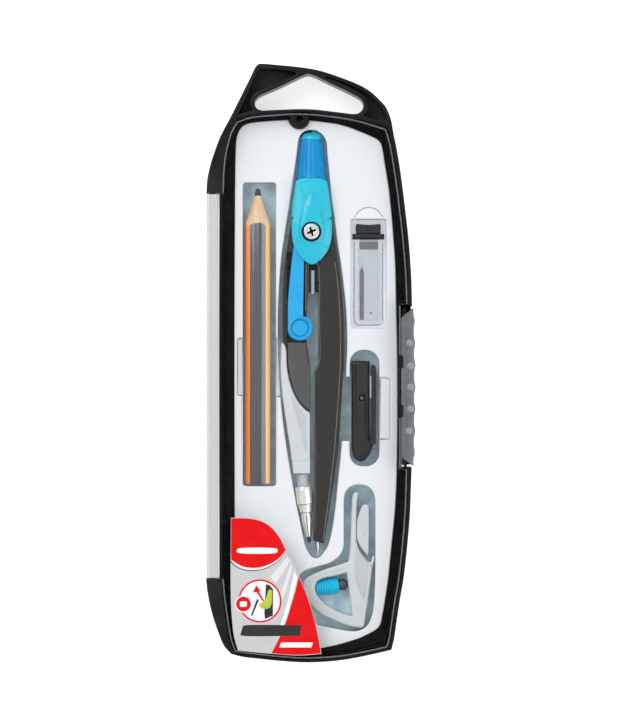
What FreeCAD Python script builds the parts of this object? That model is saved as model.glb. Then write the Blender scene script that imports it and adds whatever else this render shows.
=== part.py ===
import FreeCAD, Part
import os, math
import Sketcher

# School compass set in a flat hinged case.  Millimetres.  The case lies on its back:
# +Z is up through its thickness, +Y points to the carrying handle, +X to the latch edge.
# Origin: centre of the footprint, on the resting plane.

V = FreeCAD.Vector
doc = FreeCAD.newDocument("compass_set")
sheet = doc.addObject("Spreadsheet::Sheet", "dims")
DIMS = [
    ("floor_top", 1.6), ("liner_bottom", 1.7), ("liner_top", 2.2), ("rest", 2.5),
    ("web_under", 6.0), ("web_top", 8.4),
    ("deck_under", 8.8), ("deck_top", 10.0), ("ledge_under", 9.3), ("ledge_top", 10.6),
    ("rim_top", 15.5), ("lid_skirt", 15.7), ("lid_under", 16.4), ("lid_top", 18.0),
    ("label_top", 18.15),
    ("hinge_z", 9.5), ("ear_top", 15.5), ("pin_radius", 1.0), ("bore_radius", 1.05),
    ("latch_pin_z", 3.6), ("latch_pin_radius", 0.9), ("latch_bore_radius", 0.95),
    ("leg_under", 6.3), ("leg_top", 11.3), ("mid_low", 7.9), ("mid_high", 8.1),
    ("eye_under", 4.8), ("eye_radius", 6.0), ("eye_clear", 6.25),
    ("cheek_gap_low", 4.6), ("cheek_gap_high", 11.5), ("head_top", 13.5),
    ("screw_radius", 1.6), ("screw_bore", 1.65),
    ("pencil_side", 8.6), ("lead_radius", 1.0),
    ("box_top", 9.5), ("pointer_top", 10.2), ("holder_top", 10.2),
]
for i, (alias, value) in enumerate(DIMS, 1):
    sheet.set("A%d" % i, alias)
    sheet.set("B%d" % i, str(value))
    sheet.setAlias("B%d" % i, alias)
doc.recompute()
D = dict(DIMS)
NODES = []


def new_body(label):
    b = doc.addObject("PartDesign::Body", label)
    b.Label = label
    NODES.append(b)
    return b


def plane(b, role):
    return [o for o in b.Origin.OriginFeatures if o.Role == role][0]


def geometry(spans):
    """Lines and smooth curves: every span shares its end point with the next span."""
    if spans and spans[0] == "circle":
        return [Part.Circle(V(c[0], c[1], 0), V(0, 0, 1), c[2]) for c in spans[1]]
    out = []
    for s in spans:
        pts = [V(p[0], p[1], 0) for p in s]
        if len(pts) == 2:
            out.append(Part.LineSegment(pts[0], pts[1]))
        elif len(pts) > 2:
            c = Part.BSplineCurve()
            c.interpolate(Points=pts)
            out.append(c)
    return out


def poly(points):
    """Closed outline of straight edges."""
    return [[points[i], points[(i + 1) % len(points)]] for i in range(len(points))]


def slot(x0, y0, x1, y1, r):
    """Upright rectangle with rounded corners."""
    return ("slot", x0, y0, x1, y1, r)


def add_geometry(sk, spans):
    if isinstance(spans, tuple) and spans[0] == "slot":
        x0, y0, x1, y1, r = spans[1:]
        line = lambda ax, ay, bx, by: Part.LineSegment(V(ax, ay, 0), V(bx, by, 0))
        arc = lambda cx, cy, q: Part.ArcOfCircle(Part.Circle(V(cx, cy, 0), V(0, 0, 1), r), q * math.pi / 2, (q + 1) * math.pi / 2)
        geo = [arc(x1 - r, y0 + r, 3), arc(x1 - r, y1 - r, 0), arc(x0 + r, y1 - r, 1), arc(x0 + r, y0 + r, 2)]
        if x1 - x0 > 2 * r + 0.02:
            geo += [line(x0 + r, y0, x1 - r, y0), line(x1 - r, y1, x0 + r, y1)]
        if y1 - y0 > 2 * r + 0.02:
            geo += [line(x1, y0 + r, x1, y1 - r), line(x0, y1 - r, x0, y0 + r)]
        sk.addGeometry(geo, False)
    else:
        sk.addGeometry(geometry(spans), False)


def sketch(b, name, spans, z, role="XY_Plane"):
    sk = b.newObject("Sketcher::SketchObject", b.Name + "_" + name)
    sk.AttachmentSupport = [(plane(b, role), "")]
    sk.MapMode = "FlatFace"
    add_geometry(sk, spans)
    if z is not None:
        sk.setExpression("AttachmentOffset.Base.z", z)
    return sk


def pad(b, name, spans, z0, z1, taper=0.0):
    sk = sketch(b, name + "_sketch", spans, z0)
    f = b.newObject("PartDesign::Pad", b.Name + "_" + name)
    f.Profile = sk
    f.setExpression("Length", "(%s) - (%s)" % (z1, z0))
    if taper:
        f.TaperAngle = taper
    doc.recompute()
    return f


def pocket(b, name, spans, z0, z1, taper=0.0):
    """Removes the outline between heights z0 and z1."""
    before = b.Shape.Volume
    sk = sketch(b, name + "_sketch", spans, z1)
    f = b.newObject("PartDesign::Pocket", b.Name + "_" + name)
    f.Profile = sk
    f.setExpression("Length", "(%s) - (%s)" % (z1, z0))
    if taper:
        f.TaperAngle = taper
    doc.recompute()
    if not b.Shape.Volume < before - 1e-4:
        raise RuntimeError("pocket cut nothing: " + f.Name)
    return f


def turned(b, name, profile, x, z, cut=False):
    """Solid of revolution about a line parallel to Y through (x, z); profile is (radius, y)."""
    sk = sketch(b, name + "_sketch", poly(profile), None)
    sk.AttachmentOffset = FreeCAD.Placement(V(x, 0, 0), FreeCAD.Rotation())
    sk.setExpression("AttachmentOffset.Base.z", z)
    before = b.Shape.Volume if cut else 0.0
    f = b.newObject("PartDesign::Groove" if cut else "PartDesign::Revolution", b.Name + "_" + name)
    f.Profile = sk
    f.ReferenceAxis = (sk, ["V_Axis"])
    f.Angle = 360.0
    doc.recompute()
    if cut and not b.Shape.Volume < before - 1e-4:
        raise RuntimeError("groove cut nothing: " + f.Name)
    return f


def bore(b, name, centres, z0, z1):
    return pocket(b, name, ["circle", centres], z0, z1)

# ---------------------------------------------------------------- case
# Base shell: outline with the carrying handle at the top and the two hinge ears on the left.
OUTLINE = [[(-18.94, 104.6), (-18.23, 105.02), (-17.18, 105.12), (-10.86, 104.6), (-3.84, 103.9), (3.18, 102.67), (10.2, 100.39), (17.22, 97.58),
        (20.73, 95.47), (24.24, 92.31), (26.34, 89.86), (27.75, 86.7), (28.27, 84.94)], [(28.27, 84.94), (29.15, 80.03), (30.2, 74.76),
        (31.26, 68.44), (32.31, 60.72), (33.36, 51.95), (34.06, 45.98), (34.77, 37.91), (35.29, 29.13), (35.54, 20.01)], [(35.54, 20.01),
        (31.82, 20.01)], [(31.82, 20.01), (31.82, -36.68)], [(31.82, -36.68), (35.4, -36.68)], [(35.4, -36.68), (35.12, -44.58), (34.77, -53.35),
        (34.06, -62.13), (33.36, -69.15), (32.49, -76.17), (31.26, -83.19), (30.2, -90.21), (29.15, -97.23), (28.27, -100.74)], [(28.27, -100.74),
        (20.73, -102.49), (13.71, -103.9), (6.69, -104.77), (-2.09, -105.12), (-10.86, -104.6), (-17.88, -103.9), (-24.9, -103.02),
        (-28.06, -102.14)], [(-28.06, -102.14), (-30.52, -99.33), (-32.63, -94.42), (-34.38, -89.5), (-35.78, -84.24), (-36.49, -80.38),
        (-37.01, -75.82)], [(-37.01, -75.82), (-32.17, -75.82)], [(-32.17, -75.82), (-32.24, -37.56), (-32.27, -2.46), (-32.24, 29.13),
        (-32.17, 59.67)], [(-32.17, 59.67), (-36.84, 59.67)], [(-36.84, 59.67), (-36.49, 64.94), (-35.78, 68.44), (-34.73, 71.95),
        (-33.33, 75.82), (-31.92, 79.33), (-30.17, 82.84), (-28.41, 85.99)], [(-28.41, 85.99), (-25.96, 90.91), (-23.85, 95.12), (-21.39, 100.03),
        (-19.64, 103.72), (-18.94, 104.6)]]
# Inner face of the rim wall around the tray well.
WELL = [[(-26.13, 85.64), (-21.39, 86.87), (-14.37, 87.57), (-3.84, 88.1), (6.69, 87.22), (15.46, 85.82), (27.04, 82.66)], [(27.04, 82.66),
        (27.92, 78.97), (28.98, 74.06), (30.03, 67.74), (31.08, 60.02), (32.13, 51.25), (32.84, 45.28), (33.54, 37.21), (34.06, 28.43),
        (34.2, 21.24)], [(34.2, 21.24), (30.91, 21.24)], [(30.91, 21.24), (30.91, -37.91)], [(30.91, -37.91), (34.06, -37.91)], [(34.06, -37.91),
        (33.89, -44.58), (33.54, -53.35), (32.84, -62.13), (32.13, -69.15), (31.26, -76.17), (30.03, -83.19), (28.98, -90.21), (27.92, -97.23),
        (27.33, -99.68)], [(27.33, -99.68), (20.73, -101.19), (13.71, -102.6), (6.69, -103.47), (-2.09, -103.83), (-10.86, -103.3),
        (-17.88, -102.6), (-24.9, -101.61), (-27.18, -101.09)], [(-27.18, -101.09), (-28.59, -97.23), (-29.82, -90.21), (-30.66, -83.19),
        (-31.08, -76.17)], [(-31.08, -76.17), (-31.4, -37.56), (-31.5, -2.46), (-31.4, 29.13), (-31.15, 59.67)], [(-31.15, 59.67),
        (-30.94, 65.99), (-30.52, 71.25), (-29.68, 75.82), (-28.41, 80.38), (-26.13, 85.64)]]
# Inner edge of the black ledge, round the white insert, with the moulded boss at the top.
TRAY = [[(-26.83, 78.27), (-26.31, 80.73), (-25.25, 82.84), (-23.85, 84.06), (-22.1, 84.7), (-19.64, 85.05), (-14.37, 85.54),
        (-7.53, 85.99)], [(-7.53, 85.99), (-7.0, 84.42), (-5.77, 83.26), (-4.19, 82.84), (-2.61, 83.26), (-1.39, 84.42),
        (-0.86, 85.64)], [(-0.86, 85.64), (3.18, 85.29), (10.2, 84.24), (13.71, 83.19), (17.22, 81.78), (20.73, 80.38), (23.18, 79.15),
        (24.59, 77.92), (25.29, 76.17), (25.64, 74.06), (26.34, 69.5), (27.04, 65.29), (27.75, 60.72), (28.27, 55.46), (28.8, 50.19),
        (29.33, 43.17), (29.85, 36.15), (30.2, 22.11), (30.55, 8.07), (30.69, -5.97), (30.69, -20.01), (30.55, -34.05), (30.2, -44.58),
        (29.68, -53.35), (28.8, -62.13), (28.1, -69.15), (27.4, -76.17), (26.34, -83.19), (25.29, -89.5), (24.59, -92.31), (23.18, -94.07),
        (20.73, -95.47), (17.22, -97.23), (13.71, -98.28), (10.2, -99.33), (3.88, -100.74), (-3.84, -101.44), (-10.86, -101.79),
        (-17.88, -101.61), (-22.45, -101.09)], [(-22.45, -101.09), (-24.55, -100.21), (-25.78, -98.46), (-26.31, -95.47), (-26.66, -90.21),
        (-27.01, -76.17), (-27.15, -41.07), (-27.18, -2.46), (-27.11, 39.66), (-26.83, 78.27)]]
WINDOW = [[(-3.49, 100.74), (-1.04, 101.51), (1.77, 100.74)], [(1.77, 100.74), (6.69, 98.28), (11.95, 95.82), (15.81, 93.89)], [(15.81, 93.89),
        (17.57, 92.66), (18.48, 90.91), (17.92, 88.8), (16.51, 87.64), (14.76, 87.4)], [(14.76, 87.4), (6.69, 88.38), (1.42, 88.98),
        (-3.84, 89.15), (-9.11, 88.98), (-17.18, 88.63)], [(-17.18, 88.63), (-18.94, 89.33), (-19.74, 90.91), (-19.64, 92.31),
        (-18.59, 93.61)], [(-18.59, 93.61), (-17.18, 94.42), (-12.62, 96.35), (-7.35, 98.81), (-3.49, 100.74)]]
WEB_LEFT = [[(-18.06, 103.37), (-10.86, 103.02), (-4.19, 102.07)], [(-4.19, 102.07), (-8.06, 99.68), (-13.32, 97.4), (-18.23, 95.3),
        (-19.99, 94.07), (-20.87, 92.31), (-20.94, 90.56), (-19.99, 88.8)], [(-19.99, 88.8), (-22.8, 88.1), (-25.61, 87.05)], [(-25.61, 87.05),
        (-22.8, 93.02), (-20.34, 98.81), (-18.06, 103.37)]]
WEB_RIGHT = [[(3.18, 101.26), (10.2, 98.98), (16.69, 96.35), (19.85, 94.42), (23.18, 91.44), (25.29, 88.8), (26.52, 85.47)], [(26.52, 85.47),
        (22.83, 85.82), (18.27, 87.05)], [(18.27, 87.05), (19.32, 88.63), (19.67, 90.91), (18.8, 93.02), (16.69, 94.95)], [(16.69, 94.95),
        (11.95, 97.23), (7.04, 99.51), (3.18, 101.26)]]
case_base = new_body("case_base")
pad(case_base, "outline", OUTLINE, "0", "dims.rim_top")
pocket(case_base, "well", WELL, "dims.ledge_top", "dims.rim_top")
pocket(case_base, "tray", TRAY, "dims.floor_top", "dims.ledge_top")
pocket(case_base, "window", WINDOW, "0", "dims.rim_top")
pocket(case_base, "web_left_front", WEB_LEFT, "dims.web_top", "dims.rim_top")
pocket(case_base, "web_right_front", WEB_RIGHT, "dims.web_top", "dims.rim_top")
pocket(case_base, "web_left_back", WEB_LEFT, "0", "dims.web_under")
pocket(case_base, "web_right_back", WEB_RIGHT, "0", "dims.web_under")
# Coring grooves under the ledge keep the mouldings thin-walled.
pocket(case_base, "core_right", [[(31.61, 57.21), (32.31, 48.44), (33.01, 37.91), (33.5, 29.13), (33.71, 25.62)], [(33.71, 25.62),
        (31.36, 25.62)], [(31.36, 25.62), (30.73, 37.91), (29.85, 48.44), (28.98, 57.21)], [(28.98, 57.21), (31.61, 57.21)]], "0", "dims.ledge_under")
pocket(case_base, "core_right_low", [[(33.71, -42.12), (33.36, -49.84), (32.66, -60.37), (31.61, -69.15)], [(31.61, -69.15),
        (29.5, -69.15)], [(29.5, -69.15), (30.55, -60.37), (31.26, -49.84), (31.61, -42.12)], [(31.61, -42.12),
        (33.71, -42.12)]], "0", "dims.ledge_under")
pocket(case_base, "core_right_foot", [[(31.26, -71.25), (30.2, -79.68), (28.8, -88.45), (27.57, -96.17)], [(27.57, -96.17),
        (23.53, -97.4)], [(23.53, -97.4), (25.99, -95.12), (27.04, -89.5), (28.1, -83.19), (29.33, -71.25)], [(29.33, -71.25),
        (31.26, -71.25)]], "0", "dims.ledge_under")
pocket(case_base, "core_left", [[(-30.69, 55.46), (-30.94, -2.46), (-30.69, -70.9)], [(-30.69, -70.9), (-28.41, -70.9)], [(-28.41, -70.9),
        (-28.48, -2.46), (-28.24, 55.46)], [(-28.24, 55.46), (-30.69, 55.46)]], "0", "dims.ledge_under")
pocket(case_base, "core_corner", [[(27.04, 80.73), (28.1, 74.76), (29.15, 68.44), (30.03, 60.72)], [(30.03, 60.72),
        (28.62, 60.72)], [(28.62, 60.72), (27.57, 69.5), (26.69, 76.52), (25.64, 79.33), (22.83, 81.08)], [(22.83, 81.08),
        (27.04, 80.73)]], "0", "dims.ledge_under")
# The left wall is low, so that the lid passes over it, and the ears are bored for the hinge pins.
HX = -34.73
def cylinder_y(label, radius, x, y0, y1, z):
    s = Part.makeCylinder(radius, abs(y1 - y0), V(x, min(y0, y1), z), V(0, 1, 0))
    return s
ear_bores = sketch(case_base, "ear_bore_sketch", ["circle", [(HX, D["hinge_z"], D["pin_radius"])]], None, "XZ_Plane")
f = case_base.newObject("PartDesign::Pocket", "case_base_ear_bores")
f.Profile = ear_bores
f.Midplane = True
f.Length = 2 * 110.0
ear_bores.AttachmentOffset = FreeCAD.Placement(V(0, 0, 0), FreeCAD.Rotation())
doc.recompute()
# Chamfered flanks on the ears.
flank = sketch(case_base, "flank_sketch", poly([(-37.19 - 1.0, 9.0), (-37.19 - 1.0, 17.0), (-33.61, 17.0), (-33.61, 15.5), (-35.78, 13.2),
        (-37.19, 9.0)]), None, "XZ_Plane")
f = case_base.newObject("PartDesign::Pocket", "case_base_flank")
f.Profile = flank
f.Midplane = True
f.Length = 2 * 84.0
doc.recompute()
# Bores for the latch pin, in the walls at both ends of the latch notch.
LATCH_X = 33.82
latch_bore = sketch(case_base, "latch_bore_sketch", ["circle", [(LATCH_X, D["latch_pin_z"], D["latch_pin_radius"])]], None, "XZ_Plane")
latch_bore.AttachmentOffset = FreeCAD.Placement(V(0, 0, -22.46), FreeCAD.Rotation())
f = case_base.newObject("PartDesign::Pocket", "case_base_latch_bore")
f.Profile = latch_bore
f.Length = 22.46 - -38.96
f.Reversed = True
before = 0.0
doc.recompute()

# Blue-grey liner sheet that shows through the recesses.
liner = new_body("recess_liner")
pad(liner, "sheet", [[(-25.25, 76.52), (-23.5, 81.43)], [(-23.5, 81.43), (-19.29, 83.19)], [(-19.29, 83.19), (-8.06, 84.24)], [(-8.06, 84.24),
        (-8.06, 81.43), (0.02, 81.43), (0.02, 83.89)], [(0.02, 83.89), (9.49, 82.48), (18.97, 79.33), (23.18, 76.17)], [(23.18, 76.17),
        (25.29, 64.23)], [(25.29, 64.23), (27.4, 39.66)], [(27.4, 39.66), (28.8, 8.07)], [(28.8, 8.07), (28.8, -27.03)], [(28.8, -27.03),
        (27.4, -58.62)], [(27.4, -58.62), (23.18, -90.91)], [(23.18, -90.91), (13.71, -96.17)], [(13.71, -96.17),
        (-0.33, -98.98)], [(-0.33, -98.98), (-21.39, -98.98)], [(-21.39, -98.98), (-24.55, -95.47)], [(-24.55, -95.47),
        (-25.25, -69.15)], [(-25.25, -69.15), (-25.25, 76.52)]], "dims.liner_bottom", "dims.liner_top")

# White insert: deck with recesses, and a skirt down to the liner round every recess.
INSERT = [[(-26.55, 78.27), (-26.03, 80.73), (-25.01, 82.59), (-23.67, 83.78), (-21.99, 84.42), (-19.64, 84.77), (-14.37, 85.26),
        (-7.84, 85.68)], [(-7.84, 85.68), (-7.28, 84.24), (-5.95, 82.94), (-4.19, 82.52), (-2.44, 82.94), (-1.14, 84.24),
        (-0.58, 85.33)], [(-0.58, 85.33), (3.18, 85.01), (10.2, 83.96), (13.71, 82.91), (17.22, 81.5), (20.62, 80.1), (23.01, 78.9),
        (24.34, 77.75), (25.01, 76.06), (25.36, 74.06), (26.06, 69.5), (26.76, 65.29), (27.47, 60.72), (27.99, 55.46), (28.52, 50.19),
        (29.05, 43.17), (29.57, 36.15), (29.92, 22.11), (30.27, 8.07), (30.41, -5.97), (30.41, -20.01), (30.27, -34.05), (29.92, -44.58),
        (29.4, -53.35), (28.52, -62.13), (27.82, -69.15), (27.11, -76.17), (26.06, -83.19), (25.01, -89.43), (24.34, -92.17), (23.04, -93.82),
        (20.62, -95.19), (17.11, -96.95), (13.64, -98.0), (10.13, -99.05), (3.88, -100.46), (-3.84, -101.16), (-10.86, -101.51),
        (-17.88, -101.33), (-22.34, -100.81)], [(-22.34, -100.81), (-24.34, -100.0), (-25.5, -98.35), (-26.03, -95.47), (-26.38, -90.21),
        (-26.73, -76.17), (-26.87, -41.07), (-26.9, -2.46), (-26.83, 39.66), (-26.55, 78.27)]]
insert = new_body("insert_tray")
pad(insert, "deck", INSERT, "dims.deck_under", "dims.deck_top")
R_PENCIL = slot(-23.99, -43.35, -12.34, 63.53, 1.05)
R_SLOT_L = slot(-26.03, -11.58, -23.5, 8.77, 0.88)
R_SLOT_R = slot(-12.97, -11.93, -10.34, 8.77, 0.88)
R_COMPASS = [[(1.77, 81.99), (4.05, 80.38), (5.39, 77.92), (5.81, 73.01), (6.51, 65.99), (7.21, 57.21), (8.02, 51.95), (9.14, 43.17),
        (10.55, 34.4), (11.6, 25.62), (12.3, 18.6), (12.65, 8.07), (12.3, -2.46), (11.95, -9.48), (11.25, -20.01), (10.55, -30.54),
        (9.49, -41.07), (8.44, -51.6), (7.04, -60.37), (5.63, -64.94), (3.35, -68.27)], [(3.35, -68.27), (1.77, -68.8),
        (0.02, -68.09)], [(0.02, -68.09), (-1.74, -64.94), (-3.67, -56.86), (-5.42, -48.09), (-7.0, -39.31), (-8.41, -30.54), (-10.16, -17.55),
        (-11.21, -2.46), (-11.57, 8.07), (-11.35, 22.11), (-10.72, 32.64), (-10.02, 39.66), (-8.62, 48.44), (-7.21, 57.21), (-5.53, 69.5),
        (-4.3, 78.97)], [(-4.3, 78.97), (-3.21, 80.91), (-1.21, 81.99), (1.77, 81.99)]]
R_BOX = slot(14.06, 12.29, 26.52, 50.54, 1.4)
R_BOX_NOTCH = ["circle", [(20.38, 49.49, 5.265)]]
R_POINTER = slot(13.71, -36.33, 24.06, 4.56, 4.91)
R_POINT_L = slot(10.02, -27.38, 14.41, -4.91, 1.05)
R_POINT_R = slot(23.53, -27.03, 27.92, -5.26, 1.05)
R_HOLDER = [[(11.6, -48.09), (12.3, -45.28), (14.06, -43.52), (16.87, -42.82), (20.02, -43.52), (21.78, -45.28),
        (22.66, -48.09)], [(22.66, -48.09), (22.66, -69.15), (22.31, -83.19), (21.43, -89.15), (19.67, -92.66), (16.87, -94.24), (13.71, -94.42),
        (8.44, -93.54), (2.47, -92.31)], [(2.47, -92.31), (-1.74, -88.1), (-4.02, -84.24), (-5.25, -80.38), (-4.72, -75.82), (-2.44, -73.36),
        (2.47, -71.6), (6.69, -70.38), (10.55, -67.22), (11.6, -64.23)], [(11.6, -64.23), (11.6, -48.09)]]
pocket(insert, "pencil", R_PENCIL, "dims.deck_under", "dims.deck_top")
pocket(insert, "pencil_slot_left", R_SLOT_L, "dims.deck_under", "dims.deck_top")
pocket(insert, "pencil_slot_right", R_SLOT_R, "dims.deck_under", "dims.deck_top")
pocket(insert, "compass", R_COMPASS, "dims.deck_under", "dims.deck_top")
pocket(insert, "box", R_BOX, "dims.deck_under", "dims.deck_top")
pocket(insert, "box_notch", R_BOX_NOTCH, "dims.deck_under", "dims.deck_top")
pocket(insert, "pointer", R_POINTER, "dims.deck_under", "dims.deck_top")
pocket(insert, "pointer_left", R_POINT_L, "dims.deck_under", "dims.deck_top")
pocket(insert, "pointer_right", R_POINT_R, "dims.deck_under", "dims.deck_top")
pocket(insert, "holder", R_HOLDER, "dims.deck_under", "dims.deck_top")
# Legs of the insert: short walls that stand on the base floor under the deck.
WALLS = [slot(-26.45, 11.58, -25.96, 57.21, 0.18), slot(-26.45, -69.15, -25.96, -14.74, 0.18), slot(-9.81, -69.15, -8.76, -34.05, 0.32), slot(-21.39, -84.24, -7.35, -83.19, 0.32), slot(8.27, 55.46, 9.32, 74.76, 0.32), slot(13.36, 73.71, 21.43, 74.76, 0.32), slot(27.4, 4.56, 28.27, 36.15, 0.32), slot(28.1, -48.09, 28.8, -32.29, 0.21), slot(-21.39, 70.2, -9.11, 71.25, 0.32)]
walls_sketch = sketch(insert, "walls_sketch", WALLS[0], "dims.liner_top")
for w in WALLS[1:]:
    add_geometry(walls_sketch, w)
f = insert.newObject("PartDesign::Pad", "insert_tray_walls")
f.Profile = walls_sketch
f.setExpression("Length", "dims.deck_under - dims.liner_top + 0.2")
doc.recompute()
# Blind hole in the boss at the top of the well.
pocket(case_base, "boss_hole", ["circle", [(-4.02, 85.82, 1.193)]], "dims.ledge_top - 3.0", "dims.ledge_top")

def pad_y(b, name, spans, y_hi, y_lo):
    """Extrusion along Y, from y_hi down to y_lo; the sketch holds (x, z)."""
    sk = sketch(b, name + "_sketch", spans, None, "XZ_Plane")
    sk.AttachmentOffset = FreeCAD.Placement(V(0, 0, -y_hi), FreeCAD.Rotation())
    f = b.newObject("PartDesign::Pad", b.Name + "_" + name)
    f.Profile = sk
    f.Length = y_hi - y_lo
    doc.recompute()
    return f


def pocket_y(b, name, spans, y_hi, y_lo):
    before = b.Shape.Volume
    sk = sketch(b, name + "_sketch", spans, None, "XZ_Plane")
    sk.AttachmentOffset = FreeCAD.Placement(V(0, 0, -y_hi), FreeCAD.Rotation())
    f = b.newObject("PartDesign::Pocket", b.Name + "_" + name)
    f.Profile = sk
    f.Length = y_hi - y_lo
    f.Reversed = True
    doc.recompute()
    if not b.Shape.Volume < before - 1e-4:
        raise RuntimeError("pocket cut nothing: " + f.Name)
    return f


def place(b, x, y, z, angle):
    b.Placement = FreeCAD.Placement(V(x, y, z), FreeCAD.Rotation(V(0, 0, 1), angle))


HZ = D["hinge_z"]
UNIT = 0.351
YMID = 127.41
SPINE_TOP, SPINE_END = 59.21, -75.43
# Hinge pins, pushed through the ears into the ends of the lid's spine.
pins = doc.addObject("Part::Cylinder", "hinge_pin_upper")
pins.setExpression("Radius", "dims.pin_radius")
pins.Height = 69.15 - 55.11
pins.Placement = FreeCAD.Placement(V(HX, 55.11, HZ), FreeCAD.Rotation(V(1, 0, 0), -90))
pins2 = doc.addObject("Part::Cylinder", "hinge_pin_lower")
pins2.setExpression("Radius", "dims.pin_radius")
pins2.Height = -71.6 - -84.24
pins2.Placement = FreeCAD.Placement(V(HX, -84.24, HZ), FreeCAD.Rotation(V(1, 0, 0), -90))
hinge_pins = doc.addObject("Part::Compound", "hinge_pins")
hinge_pins.Links = [pins, pins2]
NODES.append(hinge_pins)

# ---------------------------------------------------------------- lid
LID = [[(-26.48, 84.77), (-21.39, 86.7), (-14.37, 87.47), (-3.84, 88.03), (6.69, 87.15), (15.46, 85.75), (26.69, 82.56)], [(26.69, 82.56),
        (27.75, 78.62), (28.8, 73.89), (29.85, 67.57), (30.98, 59.67), (32.03, 50.89), (32.73, 44.93), (33.43, 37.21), (33.99, 28.43),
        (34.13, 20.36)], [(34.13, 20.36), (31.4, 20.36)], [(31.4, 20.36), (31.4, 2.74)], [(31.4, 2.74), (30.2, 2.74)], [(30.2, 2.74),
        (30.2, -2.04)], [(30.2, -2.04), (31.4, -2.04)], [(31.4, -2.04), (31.4, -14.46)], [(31.4, -14.46), (30.2, -14.46)], [(30.2, -14.46),
        (30.2, -19.23)], [(30.2, -19.23), (31.4, -19.23)], [(31.4, -19.23), (31.4, -37.03)], [(31.4, -37.03), (34.03, -37.03)], [(34.03, -37.03),
        (33.82, -44.58), (33.47, -53.35), (32.77, -62.13), (32.06, -69.15), (31.19, -76.17), (29.96, -83.19), (28.9, -90.21), (27.85, -97.23),
        (27.15, -100.03)], [(27.15, -100.03), (20.73, -101.44), (13.71, -102.84), (6.69, -103.72), (-2.09, -104.07), (-10.86, -103.54),
        (-17.88, -102.84), (-26.83, -101.61)], [(-26.83, -101.61), (-28.41, -97.23), (-29.71, -90.21), (-30.66, -83.19),
        (-31.4, -75.82)], [(-31.4, -75.82), (-31.92, -75.43)], [(-31.92, -75.43), (-34.38, -75.43)], [(-34.38, -75.43),
        (-34.38, 59.21)], [(-34.38, 59.21), (-31.92, 59.21)], [(-31.92, 59.21), (-31.29, 59.67)], [(-31.29, 59.67), (-31.08, 65.99),
        (-30.62, 71.25), (-29.78, 75.82), (-28.48, 80.38), (-26.48, 84.77)]]
LID_IN = [[(-24.9, 84.06), (-20.69, 85.47), (-14.37, 86.24), (-3.84, 86.8), (6.69, 85.92), (15.46, 84.52), (25.64, 81.61)], [(25.64, 81.61),
        (26.52, 78.27), (27.57, 73.53), (28.62, 67.39), (29.75, 59.32), (30.8, 50.54), (31.5, 44.58), (32.2, 36.85), (32.73, 28.43),
        (32.91, 21.59)], [(32.91, 21.59), (29.85, 21.59)], [(29.85, 21.59), (29.33, 17.9)], [(29.33, 17.9), (29.33, -34.75)], [(29.33, -34.75),
        (29.85, -38.26)], [(29.85, -38.26), (32.77, -38.26)], [(32.77, -38.26), (32.59, -44.58), (32.24, -53.35), (31.54, -62.13),
        (30.84, -69.15), (29.96, -76.17), (28.73, -83.19), (27.68, -90.21), (26.69, -96.52), (26.1, -98.98)], [(26.1, -98.98), (20.38, -100.25),
        (13.53, -101.61), (6.69, -102.49), (-2.09, -102.84), (-10.86, -102.32), (-17.88, -101.61), (-25.61, -100.56)], [(-25.61, -100.56),
        (-27.11, -96.88), (-28.48, -89.86), (-29.4, -83.19), (-29.99, -75.82)], [(-29.99, -75.82), (-30.34, -2.46),
        (-29.99, 59.67)], [(-29.99, 59.67), (-29.82, 65.99), (-29.33, 70.9), (-28.48, 75.46), (-27.18, 79.68), (-24.9, 84.06)]]
lid = new_body("lid")
pad(lid, "plate", LID, "dims.lid_skirt", "dims.lid_top")
pocket(lid, "inside", LID_IN, "dims.lid_skirt", "dims.lid_under")
a = math.radians(1)
SPINE = [[(HX + 2.1, HZ), (HX + 1.485, HZ - 1.485), (HX, HZ - 2.1), (HX - 1.485, HZ - 1.485), (HX - 2.1, HZ)],
         [(HX - 2.1, HZ), (HX - 2.1, 14.6)], [(HX - 2.1, 14.6), (HX - 1.6, 16.6), (HX - 0.4, 17.6), (HX + 1.0, 18.0)],
         [(HX + 1.0, 18.0), (HX + 2.1, 18.0)], [(HX + 2.1, 18.0), (HX + 2.1, HZ)]]
pad_y(lid, "spine", SPINE, SPINE_TOP, SPINE_END)
pocket_y(lid, "bore_upper", ["circle", [(HX, HZ, D["bore_radius"])]], SPINE_TOP, 54.05)
pocket_y(lid, "bore_lower", ["circle", [(HX, HZ, D["bore_radius"])]], -70.55, SPINE_END)

label = new_body("lid_label")
pad(label, "sheet", [[(-28.06, -54.23), (-22.1, -54.33), (-17.18, -55.39), (-13.67, -57.67), (-10.86, -61.14), (-8.58, -65.64), (-6.83, -69.15),
        (-4.9, -73.18), (-3.14, -77.04), (-1.39, -81.43), (0.19, -85.99), (1.77, -91.96), (2.93, -97.23), (3.7, -101.97)], [(3.7, -101.97),
        (-3.84, -102.49), (-10.86, -102.14), (-17.88, -101.54), (-25.61, -100.74)], [(-25.61, -100.74), (-27.01, -95.47), (-27.78, -88.45),
        (-28.13, -79.68), (-28.06, -54.23)]], "dims.lid_top", "dims.label_top")

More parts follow.
